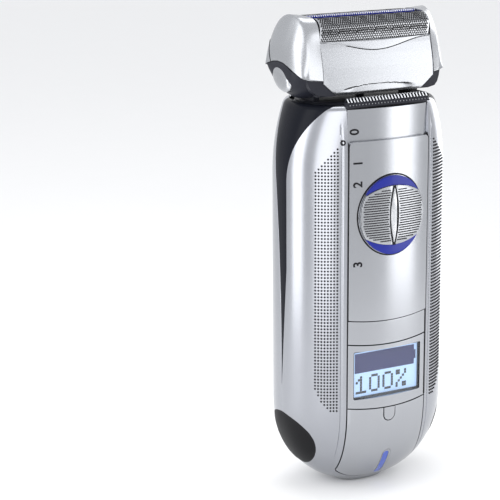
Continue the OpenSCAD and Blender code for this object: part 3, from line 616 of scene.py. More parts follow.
def wing_grid():
    grid = []
    for w, front, _, z in LEVELS:
        edge = channel_limit(z)
        seam = angle_of_y(front_seam(z) - SEAM / 2, front)
        x_seam = section_at(seam, w, front)[0]
        scale = min(1.0, (x_seam - edge) / 9.0)
        groove = smoothstep(8, 16, z) * (1 - smoothstep(122, 127, z))
        row = []
        for offset in EDGE_OFFSETS:
            x = edge + offset * scale
            row.append((x, -section_y(x, w, front) + GROOVE.get(offset, 0.0) * groove, z))
        start = angle_of_x(edge + EDGE_OFFSETS[-1] * scale, w)
        for k in range(1, WING_STEPS + 1):
            angle = start + (seam - start) * k / WING_STEPS
            x, y = section_at(angle, w, front)
            row.append((x, -y, z))
        grid.append(row[::-1])
    return grid


def shell_wall(count):
    """The wall's thickness at each level; it thins towards the lip at the top."""
    return [WALL] * (count - len(LIP_WALL)) + list(LIP_WALL)


def make_front_casing():
    verts, faces = grid_solid(wing_grid(), shell_wall(len(LEVELS)),
                              open_edge=lambda row: row[-1][0] < 1e-6)
    count = len(verts)
    verts = verts + [(-x, y, z) for x, y, z in verts]
    faces = faces + [tuple(count + v for v in reversed(face)) for face in faces]
    obj = mesh_object("front_casing", verts, faces, SILVER, smooth=40, bevel=0.22)
    return piece(obj, "root", "silver", "front_shell")


def make_rear_casing():
    steps = 64
    grid = []
    for w, _, back, z in LEVELS:
        seam = angle_of_y(back_seam(z) + SEAM / 2, back)
        row = []
        for k in range(steps + 1):
            angle = seam + (math.pi - 2 * seam) * k / steps
            side = -1 if angle > math.pi / 2 else 1
            x, y = section_at(min(angle, math.pi - angle), w, back)
            row.append((side * x, y, z))
        grid.append(row)
    obj = solid("rear_casing", grid, shell_wall(len(LEVELS)), SILVER, smooth=40, bevel=0.22)
    applied(obj)
    holes = []
    for side in (-1, 1):
        x = side * SCREW_X
        for z in SCREW_Z:
            holes.append(rod("hole", SCREW_HOLE, (x, 18.0, z), (x, 30.0, z), INK_AND_GAP_SHADE))
        x = side * CONTACT_X
        holes.append(rod("hole", CONTACT_HOLE, (x, 15.0, CONTACT_Z), (x, 30.0, CONTACT_Z), INK_AND_GAP_SHADE))
    cut(obj, *holes)
    return piece(obj, "root", "silver", "rear_shell")


def rod(name, r, start, end, material, sides=40, bevel=0.0):
    """A round bar between two points."""
    a, b = Vector(start), Vector(end)
    turn = (b - a).to_track_quat("Z", "Y")
    verts = []
    for base in (a, b):
        for k in range(sides):
            t = 2 * math.pi * k / sides
            verts.append(tuple(base + turn @ Vector((r * math.cos(t), r * math.sin(t), 0))))
    return mesh_object(name, verts, ring_faces(2, sides), material, bevel=bevel, merge=False)


def make_side_inlay(side):
    steps = 18
    grid = []
    for w, front, back, z in LEVELS:
        if z < INLAY_TIP:
            continue
        if z == INLAY_TIP:
            z = INLAY_TIP + 0.7
        start = -angle_of_y(front_seam(z) + SEAM / 2, front)
        end = angle_of_y(max(0.0, back_seam(z) - SEAM / 2), back)
        row = []
        for k in range(steps + 1):
            angle = start + (end - start) * k / steps
            x, y = section_at(abs(angle), w, front if angle < 0 else back)
            row.append((side * x, -y if angle < 0 else y, z))
        grid.append(row)
    obj = solid("side_inlay_" + hand(side), grid, shell_wall(len(grid)), GLOSS_BLACK, smooth=40,
                bevel=0.12)
    piece(obj, "root", "black", "side_panel_" + hand(side))


PAD_X, PAD_Z = 26.0, 18.5
PAD_LEAN = math.radians(26)
PAD_HALF_Y, PAD_HALF_S = 11.5, 10.2
PAD_PROUD, PAD_SUNK, PAD_BACK = 0.55, 0.12, 1.0


def cast_on_body(origin, direction):
    """Walks outwards from a point inside the body until it meets the surface."""
    low, high = 0.0, 30.0
    for _ in range(40):
        mid = (low + high) / 2
        p = origin + direction * mid
        z = p.z
        inside = False
        if z > 0.02:
            share = share_at(z)
            w, d = HALF_W * share - shoulder(z), (FRONT_D if p.y < 0 else BACK_D) * share
            inside = (abs(p.x) / w) ** SECTION_POWER + (abs(p.y) / d) ** SECTION_POWER < 1
        low, high = (mid, high) if inside else (low, mid)
    return origin + direction * low


def make_corner_pad(side):
    lean = Vector((side * math.cos(PAD_LEAN), 0, -math.sin(PAD_LEAN)))
    across = Vector((-side * math.sin(PAD_LEAN), 0, -math.cos(PAD_LEAN)))
    centre = Vector((side * PAD_X, 0, PAD_Z)) - lean * 14.0
    rings, sides = 9, 56
    outer, inner = [], []
    for k in range(rings):
        t = (k + 1) / rings
        for j in range(sides):
            a = 2 * math.pi * j / sides
            start = centre + across * (PAD_HALF_S * t * math.cos(a))
            start += Vector((0, PAD_HALF_Y * t * math.sin(a), 0))
            hit = cast_on_body(start, lean)
            proud = PAD_PROUD * math.sqrt(max(0.0, 1 - (0.97 * t) ** 6)) - PAD_SUNK
            outer.append(tuple(hit + lean * proud))
            inner.append(tuple(hit - lean * PAD_BACK))
    middle = cast_on_body(centre, lean)
    verts = outer + inner[(rings - 1) * sides:]
    verts += [tuple(middle + lean * (PAD_PROUD - PAD_SUNK)), tuple(middle - lean * PAD_BACK)]
    faces = ring_faces(rings, sides, ends=False)
    shift = rings * sides
    rim = (rings - 1) * sides
    tip, back = shift + sides, shift + sides + 1
    for j in range(sides):
        n = (j + 1) % sides
        faces.append((tip, n, j))
        faces.append((rim + j, rim + n, shift + n, shift + j))
        faces.append((back, shift + j, shift + n))
    obj = mesh_object("bumper_" + hand(side), verts, faces, RUBBER, smooth=50)
    piece(obj, "root", "rubber", "corner_pad_" + hand(side))


DOT_INNER, DOT_PITCH, DOT_ROW_PITCH, DOT_COLUMN_COUNT = 18.6, 1.03, 1.09, 8
DOT_BASE, DOT_LOW, DOT_HIGH = 30.0, 30.4, 119.4
DOT_LOW_RISE, DOT_HIGH_FALL = 7.4, 6.6


def dot_columns():
    """Even steps along the wing's curve, from its inner column outwards."""
    columns, x, walked, step = [DOT_INNER], DOT_INNER, 0.0, 0.01
    while len(columns) < DOT_COLUMN_COUNT:
        walked += math.hypot(step, front_surface(x + step, 75) - front_surface(x, 75))
        x += step
        if walked >= DOT_PITCH:
            columns.append(x)
            walked -= DOT_PITCH
    return columns


def make_grip_dots(side):
    spots = []
    for column, x in enumerate(dot_columns()):
        part = column / (DOT_COLUMN_COUNT - 1)
        low = DOT_LOW + DOT_LOW_RISE * part ** 2
        high = DOT_HIGH - DOT_HIGH_FALL * part
        row = math.ceil((low - DOT_BASE) / DOT_ROW_PITCH)
        while DOT_BASE + row * DOT_ROW_PITCH < high:
            z = DOT_BASE + row * DOT_ROW_PITCH
            aim = front_normal(x, z)
            spots.append(((side * x, front_surface(x, z) + 0.06, z), (side * aim.x, aim.y, aim.z), 0.0))
            row += 1
    obj = studs("grip_dots_" + hand(side), spots, RUBBER_DOTS_AND_SHADE, 0.37, 0.26, taper=0.75, sides=9)
    piece(obj, "root", "rubber", "dot_grip_" + hand(side))


# ---------------------------------------------------------------- front channel
BEND_Y = 40.0
FACE_R, PANEL_R, CARRIER_R = 60.0, 60.3, 58.7
PLATE_HALF = 15.2
BEZEL_LOW, BEZEL_TOP, PLATE_TOP = 31.0, 53.4, 132.0
PANEL_LOW, PANEL_TOP = 61.6, 121.0
SAG = 1.1


def bend(x, r):
    return BEND_Y - math.sqrt(r * r - x * x)


def sag(x, middle):
    """A line that sits lower in the middle of the channel than at its sides."""
    return middle + SAG * (x / PLATE_HALF) ** 2


def plate_columns(half, corner=0.0, steps=30):
    columns = [half * (2 * k / steps - 1) for k in range(steps + 1)]
    if corner > 0:
        for k in range(1, 7):
            a = math.radians(90 * k / 7)
            columns += [half - corner * (1 - math.sin(a)), -half + corner * (1 - math.sin(a))]
    return sorted(set(round(c, 4) for c in columns))


def corner_drop(x, half, corner):
    if corner <= 0 or abs(x) <= half - corner:
        return 0.0
    over = min(corner, abs(x) - (half - corner))
    return corner - math.sqrt(corner * corner - over * over)


def channel_plate(name, r, thick, low, high, material, corner_top=0.0, corner_low=0.0,
                  half=PLATE_HALF, rows=8, bevel=0.2):
    grid = []
    columns = plate_columns(half, max(corner_top, corner_low))
    for k in range(rows + 1):
        row = []
        for x in columns:
            a = low(x) + corner_drop(x, half, corner_low)
            b = high(x) - corner_drop(x, half, corner_top)
            row.append((x, bend(x, r), a + (b - a) * k / rows))
        grid.append(row)
    return solid(name, grid, thick, material, centre=(0.0, BEND_Y), bevel=bevel)


def make_channel_gap_shade(side):
    """A black strip of painted shade in the gap beside the sliding plates, not rubber."""
    low_face, high_face = bend(PLATE_HALF, PANEL_R) + 0.14, bend(PLATE_HALF, CARRIER_R) + 0.1
    stations = ((32.0, low_face), (62.0, low_face), (92.0, low_face), (120.6, low_face),
                (122.4, high_face), (127.0, high_face), (131.4, high_face))
    inner, outer = PLATE_HALF + 0.04, CHANNEL_HALF - 0.02
    loops = []
    for z, face in stations:
        for x, y in ((inner, face), (outer, face + 0.05), (outer, face + 1.1), (inner, face + 1.1)):
            loops.append((side * x, y, z))
    gap_shade = mesh_object("channel_gap_shade_" + hand(side), loops, ring_faces(len(stations), 4), INK_AND_GAP_SHADE)
    piece(gap_shade, "root", "rubber")


def make_channel():
    for side in (-1, 1):
        make_channel_gap_shade(side)
    carrier = channel_plate("carrier_plate", CARRIER_R, 1.4, lambda x: PANEL_LOW + 1.5,
                            lambda x: PLATE_TOP - 0.1, PLATE, bevel=0.15)
    piece(carrier, "trimmer", "silver_plate")
    panel = channel_plate("sliding_panel", PANEL_R, 1.4, lambda x: sag(x, PANEL_LOW - 0.55),
                          lambda x: PANEL_TOP + 0.5, PLATE, corner_top=1.5, corner_low=0.25, bevel=0.3)
    piece(panel, "switch", "silver_plate", "slide_panel")
    middle = channel_plate("middle_strip", FACE_R, 2.0, lambda x: sag(x, BEZEL_TOP - 0.1) - 0.5,
                           lambda x: sag(x, PANEL_LOW - 0.9), PLATE, bevel=0.12)
    piece(middle, "root", "silver_plate", "middle_plate")
    frame_plate = channel_plate("display_frame", FACE_R, 2.0, lambda x: sag(x, BEZEL_LOW - 0.35),
                                lambda x: sag(x, BEZEL_TOP - 0.45) - 0.5, PLATE, bevel=0.0, rows=10)
    hole = prism_y("hole", rounded_rect(-13.2, 13.2, 34.4, 51.0, 0.5), -30, -5)
    cut(frame_plate, hole)
    add_bevel(frame_plate, 0.14)
    piece(frame_plate, "root", "silver_plate", "display_bezel")


DISPLAY_Y = -17.35
SEGMENT_PITCH, SEGMENT_LEFT, SEGMENT_LOW = 0.62, -11.7, 43.35
SEGMENT_COLUMNS, SEGMENT_ROWS, TERMINAL_ROWS = 38, 11, (3, 8)
FIGURE_LEFT, FIGURE_TOP, FIGURE_STEP = -11.2, 41.5, 5.3
FIGURE_PITCH_X, FIGURE_PITCH_Z = 0.84, 0.88


def box_points(low, high):
    (x0, y0, z0), (x1, y1, z1) = low, high
    return [(x0, y0, z0), (x1, y0, z0), (x1, y1, z0), (x0, y1, z0),
            (x0, y0, z1), (x1, y0, z1), (x1, y1, z1), (x0, y1, z1)]


BOX_FACES = [(0, 3, 2, 1), (4, 5, 6, 7), (0, 1, 5, 4), (1, 2, 6, 5), (2, 3, 7, 6), (3, 0, 4, 7)]


def block(name, low, high, material, bevel=0.0):
    return mesh_object(name, box_points(low, high), BOX_FACES, material, bevel=bevel)


def frame_ring(name, outline_out, outline_in, from_y, to_y, material, bevel=0.0):
    """A rim between two outlines of equal count in x and z, drawn along y."""
    n = len(outline_out)
    verts = [(x, from_y, z) for x, z in outline_out] + [(x, from_y, z) for x, z in outline_in] \
        + [(x, to_y, z) for x, z in outline_in] + [(x, to_y, z) for x, z in outline_out]
    return mesh_object(name, verts, ring_faces(4, n, closed=True), material, bevel=bevel)


GLYPHS = {
    "1": ("00100", "01100", "10100", "00100", "00100", "00100", "11111"),
    "0": ("01110", "10001", "10001", "10001", "10001", "10001", "01110"),
    "%": ("11001", "11001", "00010", "00100", "01000", "10011", "10011"),
}


def display_dot(x, z):
    """One square dot of the display, facing forwards."""
    return (x, DISPLAY_Y + 0.01, z), (0.0, -1.0, 0.0), math.pi / 4


def make_display():
    ground = block("display_ground", (-13.0, DISPLAY_Y, 34.5), (13.0, DISPLAY_Y + 1.6, 50.9), LCD_PALE,
                   bevel=0.15)
    piece(ground, "root", "lcd", "lcd_module")
    surround = frame_ring("display_surround", rounded_rect(-13.19, 13.19, 34.41, 50.99, 0.45),
                          rounded_rect(-12.75, 12.75, 34.85, 50.55, 0.25), DISPLAY_Y - 0.75,
                          DISPLAY_Y - 0.02, INK_AND_GAP_SHADE)
    piece(surround, "root", "black")
    window = channel_plate("display_glass", FACE_R - 0.45, 0.5, lambda x: 34.45, lambda x: 50.95, CLEAR,
                           half=13.15, bevel=0.0, rows=2)
    piece(window, "root", "glass", "display_window")
    figures = []
    for place, mark in enumerate("100%"):
        for r, line in enumerate(GLYPHS[mark]):
            for c, on in enumerate(line):
                if on == "1":
                    figures.append(display_dot(FIGURE_LEFT + FIGURE_STEP * place + FIGURE_PITCH_X * c,
                                               FIGURE_TOP - FIGURE_PITCH_Z * r))
    digits = studs("display_figures", figures, INK_AND_GAP_SHADE, 0.58, 0.06, taper=1.0, sides=4)
    piece(digits, "root", "lcd")
    cells = [(i, j) for i in range(SEGMENT_COLUMNS) for j in range(SEGMENT_ROWS)]
    cells += [(SEGMENT_COLUMNS, j) for j in range(*TERMINAL_ROWS)]
    spots = [display_dot(SEGMENT_LEFT + SEGMENT_PITCH * i, SEGMENT_LOW + SEGMENT_PITCH * j)
             for i, j in cells]
    dots = studs("display_segments", spots, LCD_INK, 0.43, 0.06, taper=1.0, sides=4)
    piece(dots, "root", "lcd")


KEY_X, KEY_Z = 0.2, 27.8


def surface_patch(x0, x1, low, high, columns, rows, lift=0.0):
    grid = []
    for k in range(rows + 1):
        row = []
        for j in range(columns + 1):
            x = x0 + (x1 - x0) * j / columns
            a, b = low(x), high(x)
            z = a + (b - a) * k / rows
            row.append((x, front_surface(x, z) - lift, z))
        grid.append(row)
    return grid


def key_outline(r, top, flare=0.0):
    """The reset key's shape: a half round below and straight sides up to top."""
    arc = [(KEY_X + r * math.cos(-math.pi * k / 20), KEY_Z + r * math.sin(-math.pi * k / 20))
           for k in range(21)]
    return [(KEY_X + r + flare, top)] + arc + [(KEY_X - r - flare, top)]


def make_lower_cover():
    def low(x):
        return CHANNEL_LOW + 0.12 + CHANNEL_RISE * abs(x / PLATE_HALF) ** 3

    def high(x):
        return sag(x, BEZEL_LOW - 0.7)
    grid = surface_patch(-PLATE_HALF, PLATE_HALF, low, high, 44, 30)
    obj = solid("lower_cover", grid, 1.6, PLATE, smooth=40)
    slot = stadium(1.3, 3.6, 14.3, 1.75)
    cut(obj, prism_y("hole", key_outline(2.4, 32.0), -30, -5), prism_y("hole", slot, -30, -2))
    add_bevel(obj, 0.14)
    piece(obj, "root", "silver_plate", "lower_cover")


def make_charge_light():
    rim = solid("light_rim", surface_patch(-0.6, 3.2, lambda x: 3.3, lambda x: 14.5, 10, 24, lift=0.04),
                0.9, WHITE_SILVER, smooth=40)
    cut(rim, prism_y("keep", stadium(1.3, 3.75, 14.15, 1.62), -30, -2), keep=True)
    cut(rim, prism_y("hole", stadium(1.05, 3.0, 13.6, 1.2), -30, -2))
    add_bevel(rim, 0.1)
    piece(rim, "root", "silver")
    patch = surface_patch(-0.4, 2.5, lambda x: 3.3, lambda x: 13.8, 12, 28, lift=-0.05)
    light = solid("charge_lens", patch, 0.8, LIGHT_BLUE, smooth=40)
    cut(light, prism_y("keep", stadium(1.05, 3.3, 13.55, 1.12), -30, -2), keep=True)
    add_bevel(light, 0.18)
    piece(light, "root", "blue", "charge_light")


def make_reset_key():
    key = solid("reset_key", surface_patch(-2.4, 2.8, lambda x: 24.5, lambda x: 31.5, 16, 16, lift=0.12),
                3.0, PLATE, smooth=40)
    cut(key, prism_y("keep", key_outline(2.05, 30.35, flare=0.08), -30, -5), keep=True)
    add_bevel(key, 0.25)
    piece(key, "reset_button", "silver", "reset_button")


# ---------------------------------------------------------------- switch knob
KNOB_Z = 96.7
KNOB_HALF_X, KNOB_HALF_Z = 12.1, 13.1
BAND_R, BAND_HALF = 20.6, 9.8
BAND_PROUD, BAND_DOME, CRESCENT_HALF = 1.25, 0.25, 11.1
KNOB_GAP, RIB_GAP = 0.15, 0.16
STUD_ROWS, STUD_ROW_PITCH, STUD_PITCH, STUD_COLUMNS = 24, 0.8, 0.58, 22
RIB_HALF_X, RIB_HALF_Z = 1.25, 9.4


def band_edge(x):
    return BAND_HALF - (BAND_R - math.sqrt(BAND_R ** 2 - x * x))


def knob_edge(x, grow=0.0):
    return (KNOB_HALF_Z + grow) * math.sqrt(max(0.0, 1 - (x / (KNOB_HALF_X + grow)) ** 2))


def knob_cap(name, edges, r, thick, material, half, rows=8, bevel=0.2, dome=0.0):
    grid = []
    steps = 44
    for k in range(rows + 1):
        row = []
        for j in range(steps + 1):
            x = half * math.sin(math.pi / 2 * (2 * j / steps - 1))
            low, high = edges(x)
            z = low + (high - low) * k / rows
            crown = dome * (1 - ((z - KNOB_Z) / KNOB_HALF_Z) ** 2)
            row.append((x, bend(x, r) - crown, z))
        grid.append(row)
    return solid(name, grid, thick, material, centre=(0.0, BEND_Y), bevel=bevel, smooth=40)


def gap_shade_ring(name, outline, width, r, lift=0.05, steps=72):
    """A thin black ring of painted shade that follows an outline on a bent plate, in the gap around a part.
    """
    verts = []
    for grow, out in ((0.0, 0.0), (0.0, lift), (width, lift), (width, 0.0)):
        for k in range(steps):
            x, z = outline(2 * math.pi * k / steps, grow)
            verts.append((x, bend(x, r + out), z))
    return mesh_object(name, verts, ring_faces(4, steps, closed=True), INK_AND_GAP_SHADE, merge=False)


def make_crescents():
    crescents = []
    for side in (-1, 1):
        def edges(x, side=side):
            inner = min(band_edge(x) + 0.1, knob_edge(x))
            pair = (KNOB_Z + side * inner, KNOB_Z + side * knob_edge(x))
            return min(pair), max(pair)
        crescents.append(knob_cap("crescent", edges, PANEL_R + 1.0, 0.98, BLUE, CRESCENT_HALF, rows=4,
                                  bevel=0.15))
    verts, faces = joined(crescents)
    arcs = mesh_object("knob_arcs", verts, faces, BLUE, smooth=40)
    piece(arcs, "switch", "blue", "knob_crescents")


def knob_outline(angle, grow):
    return ((KNOB_HALF_X + KNOB_GAP + grow) * math.cos(angle),
            KNOB_Z + (KNOB_HALF_Z + KNOB_GAP + grow) * math.sin(angle))


def make_knob():
    def band(x):
        edge = min(band_edge(x), knob_edge(x) + KNOB_GAP)
        return KNOB_Z - edge, KNOB_Z + edge
    # A black ring of painted shade in the gap around the knob.
    ring = gap_shade_ring("knob_gap_shade", knob_outline, 0.5, PANEL_R + 0.01)
    piece(ring, "switch", "black")
    base = knob_cap("knob_band", band, PANEL_R + BAND_PROUD, 1.23, WHITE_SILVER, KNOB_HALF_X + 0.1,
                    bevel=0.22, dome=BAND_DOME)
    applied(base)
    opening = [rib_outline(2 * math.pi * k / 64, 0.14) for k in range(64)]
    cut(base, prism_y("opening", opening, -30, -5))
    piece(base, "switch", "silver", "switch_knob")


def make_knob_knurl_shade():
    # Dark studs of painted shade for the hollows of the knob's knurling, not rubber; the knurled band itself
    # is plain silver.
    spots = []
    radius = PANEL_R + BAND_PROUD
    for r in range(STUD_ROWS):
        z = KNOB_Z + (r - (STUD_ROWS - 1) / 2) * STUD_ROW_PITCH
        crown = BAND_DOME * (1 - ((z - KNOB_Z) / KNOB_HALF_Z) ** 2)
        for c in range(-STUD_COLUMNS, STUD_COLUMNS + 1):
            x = c * STUD_PITCH + (STUD_PITCH / 2 if r % 2 else 0.0)
            if abs(x) > KNOB_HALF_X - 0.8 or abs(x) < rib_half(z) + 0.95:
                continue
            if abs(z - KNOB_Z) > min(band_edge(x) - 0.75, knob_edge(x) - 1.2):
                continue
            aim = (x / radius, -math.cos(math.asin(x / radius)), 0.0)
            spots.append(((x, bend(x, radius) - crown - 0.06, z), aim, 0.0))
    grip = studs("knob_knurl_shade", spots, RUBBER_DOTS_AND_SHADE, 0.23, 0.14, taper=0.8, sides=6, stretch=(1.3, 1.0, 1.0))
    piece(grip, "switch", "rubber")


def rib_half(z):
    r = (RIB_HALF_Z ** 2 + RIB_HALF_X ** 2) / (2 * RIB_HALF_X)
    over = abs(z - KNOB_Z)
    if over >= RIB_HALF_Z:
        return 0.0
    return math.sqrt(r * r - over * over) - (r - RIB_HALF_X)


def rib_outline(a, grow):
    z = (RIB_HALF_Z + grow) * math.sin(a)
    half = rib_half(KNOB_Z + max(-RIB_HALF_Z, min(RIB_HALF_Z, z))) + grow
    return (math.copysign(half, math.cos(a)) if abs(math.cos(a)) > 1e-6 else 0.0), KNOB_Z + z


RIB_HIGH = 1.25
# Across the rib: part of its half width, depth in front of its foot, part of its height.
RIB_PROFILE = ((-1, -0.38, 0), (-1, 0.1, 0), (-0.62, 0.12, 0.42), (-0.22, 0.2, 0.93), (0, 0.25, 1),
               (0.22, 0.2, 0.9), (0.62, 0.12, 0.36), (1, 0.1, 0), (1, -0.38, 0))


def make_rib():
    steps = 32
    loops = []
    for k in range(steps + 1):
        z = KNOB_Z + RIB_HALF_Z * math.sin(math.pi / 2 * (2 * k / steps - 1)) * 0.999
        half = max(0.04, rib_half(z))
        foot = bend(half, PANEL_R + BAND_PROUD)
        top = RIB_HIGH * min(1.0, half)
        loops += [(half * part, foot - out - top * share, z) for part, out, share in RIB_PROFILE]
    rib = mesh_object("knob_rib", loops, ring_faces(steps + 1, 9), STEEL, smooth=24)
    piece(rib, "lock_rib", "steel", "knob_lock_rib")

    # A black ring of painted shade in the gap around the rib.
    gap = gap_shade_ring("knob_rib_gap_shade", lambda a, g: rib_outline(a, RIB_GAP + g), 0.4, PANEL_R + 1.47, steps=96)
    piece(gap, "switch", "black")


# ---------------------------------------------------------------- marks
def numeral(name, mark, size, x0, z0, r, body):
    """A printed numeral, read from below upwards, on a bent plate."""
    data = bpy.data.curves.new(name, "FONT")
    data.body = mark
    data.size = size
    data.extrude = 0.03
    data.offset = 0.1
    data.align_x = "CENTER"
    data.align_y = "CENTER"
    text = link(bpy.data.objects.new(name + "_line", data))
    graph = bpy.context.evaluated_depsgraph_get()
    flat = bpy.data.meshes.new_from_object(text.evaluated_get(graph))
    verts = [(x0 - v.co.y, bend(x0 - v.co.y, r + 0.04 + v.co.z), z0 + v.co.x) for v in flat.vertices]
    faces = [tuple(p.vertices) for p in flat.polygons]
    bpy.data.objects.remove(text)
    obj = mesh_object(name, verts, faces, INK_AND_GAP_SHADE)
    return piece(obj, body, "black")


NUMERAL_SIZE = 4.2
INDEX_X, INDEX_Z = -17.0, 121.4


def make_marks():
    for mark, x, z, r, body in (("0", -12.7, 124.6, CARRIER_R, "trimmer"),
                                ("1", -12.3, 114.6, PANEL_R, "switch"),
                                ("2", -12.3, 107.6, PANEL_R, "switch"),
                                ("3", -12.1, 81.0, PANEL_R, "switch")):
        numeral("mark_" + mark, mark, NUMERAL_SIZE, x, z, r, body)
    x, z = INDEX_X, INDEX_Z
    aim = front_normal(x, z)
    centre = Vector((x, front_surface(x, z), z))
    turn = aim.to_track_quat("Z", "Y")
    loops = []
    for radius, lift in ((0.4, 0.02), (0.4, 0.09), (0.92, 0.09), (0.92, 0.02)):
        for k in range(28):
            a = 2 * math.pi * k / 28
            loops.append(tuple(centre + turn @ Vector((radius * math.cos(a), radius * math.sin(a), lift))))
    ring = mesh_object("index_ring", loops, ring_faces(4, 28, closed=True), INK_AND_GAP_SHADE)
    piece(ring, "root", "black")


# ---------------------------------------------------------------- long-hair trimmer
COMB_TEETH, COMB_PITCH = 26, 1.2


def make_trimmer():
    profile = ((-16.5, 131.85), (-16.5, 132.62), (-18.1, 132.62), (-18.1, 132.85), (-17.1, 133.9),
               (-16.8, 134.15), (-15.6, 134.15), (-15.6, 131.85))
    verts = [(x, y, z) for x in (-15.7, 15.7) for y, z in profile]
    holder = mesh_object("trimmer_holder", verts, ring_faces(2, len(profile)), DARK, bevel=0.15)
    piece(holder, "trimmer", "dark_plastic", "trimmer_carrier")
    teeth, low_row = [], []
    count, pitch = COMB_TEETH, COMB_PITCH
    lean = Vector((-0.5, -0.12, 0.85)).normalized()
    for k in range(count):
        x = (k - (count - 1) / 2) * pitch
        teeth.append(((x + 0.4, -16.6, 134.0), tuple(lean), math.pi / 4))
        low_row.append(((x + 0.2, -17.72, 133.28), (0.0, -0.72, 0.69), math.pi / 4 + 0.5))
    row = studs("trimmer_comb_teeth", teeth, WHITE_SILVER, 0.34, 1.7, taper=0.8, sides=4,
                stretch=(1.0, 0.9, 1.0))
    piece(row, "trimmer", "steel", "trimmer_comb")
    tips = studs("trimmer_comb_tips", low_row, WHITE_SILVER, 0.2, 0.12, taper=0.8, sides=4,
                 stretch=(1.7, 1.0, 1.0))
    piece(tips, "trimmer", "steel")
    bar = block("trimmer_comb_bar", (-15.6, -16.25, 134.0), (15.6, -15.65, 135.3), GLOSS_BLACK, bevel=0.15)
    piece(bar, "trimmer", "steel")
    edge = [(((k - 12) * 1.1, -15.45, 134.6), (0.0, 0.0, 1.0), math.pi / 4) for k in range(25)]
    blade = studs("trimmer_blade_teeth", edge, STEEL, 0.4, 0.8, taper=0.6, sides=4)
    piece(blade, "trimmer_blade", "steel", "trimmer_blade")
    spine = block("trimmer_blade_spine", (-13.6, -15.62, 133.4), (13.6, -15.2, 134.7), STEEL, bevel=0.1)
    piece(spine, "trimmer_blade", "steel")


# ---------------------------------------------------------------- neck
NECK_POWER, SOCKET_POWER = 0.87, 0.45


def squared(value, power):
    """A cosine or sine raised to a power, which fills out the corners of a round outline."""
    return math.copysign(abs(value) ** power, value)


def make_neck():
    profile = ((0.2, 130.9), (22.4, 130.9), (22.4, 131.8), (21.5, 132.0), (21.5, 132.35), (21.9, 132.5),
               (21.9, 132.85), (21.2, 133.0), (21.2, 133.2), (20.2, 133.35), (0.2, 133.35))
    sides = 72
    loops = []
    for half, z in profile:
        for k in range(sides):
            a = 2 * math.pi * k / sides
            c, s = squared(math.cos(a), NECK_POWER), squared(math.sin(a), NECK_POWER)
            depth = max(0.1, half - (8.6 if s < 0 else 4.2))
            loops.append((c * half, s * depth, z))
    neck = mesh_object("neck_bellows", loops, ring_faces(len(profile), sides), DARK, smooth=30, bevel=0.12)
    piece(neck, "root", "dark_plastic", "neck_collar")


# ---------------------------------------------------------------- head
PIVOT_Z = 146.0
CAP_IN = 21.3
EAR = ((-12.4, 140.6), (-10.6, 141.0), (-8.0, 141.9), (-5.0, 143.4), (-2.0, 144.9), (1.0, 145.8),
       (4.0, 146.1), (7.0, 145.8), (9.5, 145.1), (12.6, 144.0))


def ear_line(y):
    points = EAR
    if y <= points[0][0]:
        return points[0][1]
    for (ya, za), (yb, zb) in zip(points, points[1:]):
        if y <= yb:
            t = (y - ya) / (yb - ya)
            return za + (zb - za) * t
    return points[-1][1]


def spline(points, count):
    """Even steps along a smooth line through the points."""
    p = np.array(points, float)
    gaps = np.linalg.norm(np.diff(p, axis=0), axis=1)
    at = np.concatenate([[0.0], np.cumsum(gaps)])
    tangent = np.gradient(p, at, axis=0)
    out = []
    for s in np.linspace(0, at[-1], count):
        k = min(len(at) - 2, int(np.searchsorted(at, s, side="right") - 1))
        h = at[k + 1] - at[k]
        t = (s - at[k]) / h
        a = (2 * t ** 3 - 3 * t ** 2 + 1) * p[k] + (t ** 3 - 2 * t ** 2 + t) * h * tangent[k]
        b = (-2 * t ** 3 + 3 * t ** 2) * p[k + 1] + (t ** 3 - t ** 2) * h * tangent[k + 1]
        out.append(a + b)
    return np.array(out)


CAP_INNER = [(CAP_IN, y, z) for y, z in ((-12.0, 141.0), (-11.6, 144.5), (-10.9, 148.0), (-10.2, 151.0),
             (-9.6, 153.8), (-9.2, 156.4), (-8.0, 158.8), (-5.6, 160.2),
             (-2.5, 160.6), (0.8, 160.7), (3.4, 160.6), (6.0, 160.2),
             (8.2, 158.7), (9.6, 156.2), (10.5, 153.2), (11.3, 150.0),
             (12.0, 144.2))]
CAP_CREST = ((25.3, -9.7, 141.1), (25.2, -9.4, 144.5), (25.0, -9.0, 148.0), (24.8, -8.4, 151.2),
             (24.7, -7.5, 154.1), (24.7, -6.1, 156.8), (24.8, -4.3, 159.1), (25.0, -2.0, 160.6),
             (25.5, 0.8, 161.25), (25.9, 4.0, 160.9), (26.5, 6.7, 159.3), (27.2, 8.7, 156.6),
             (27.9, 10.0, 153.3), (28.5, 10.9, 149.9), (29.2, 11.7, 144.2))
CAP_SIDE = ((0.0, 0.0), (0.05, 0.28), (0.12, 0.5), (0.25, 0.75), (0.45, 0.95), (0.65, 0.8), (0.85, 0.4),
            (1.0, 0.0))


CAP_STEPS, CAP_SEAM = 46, 37


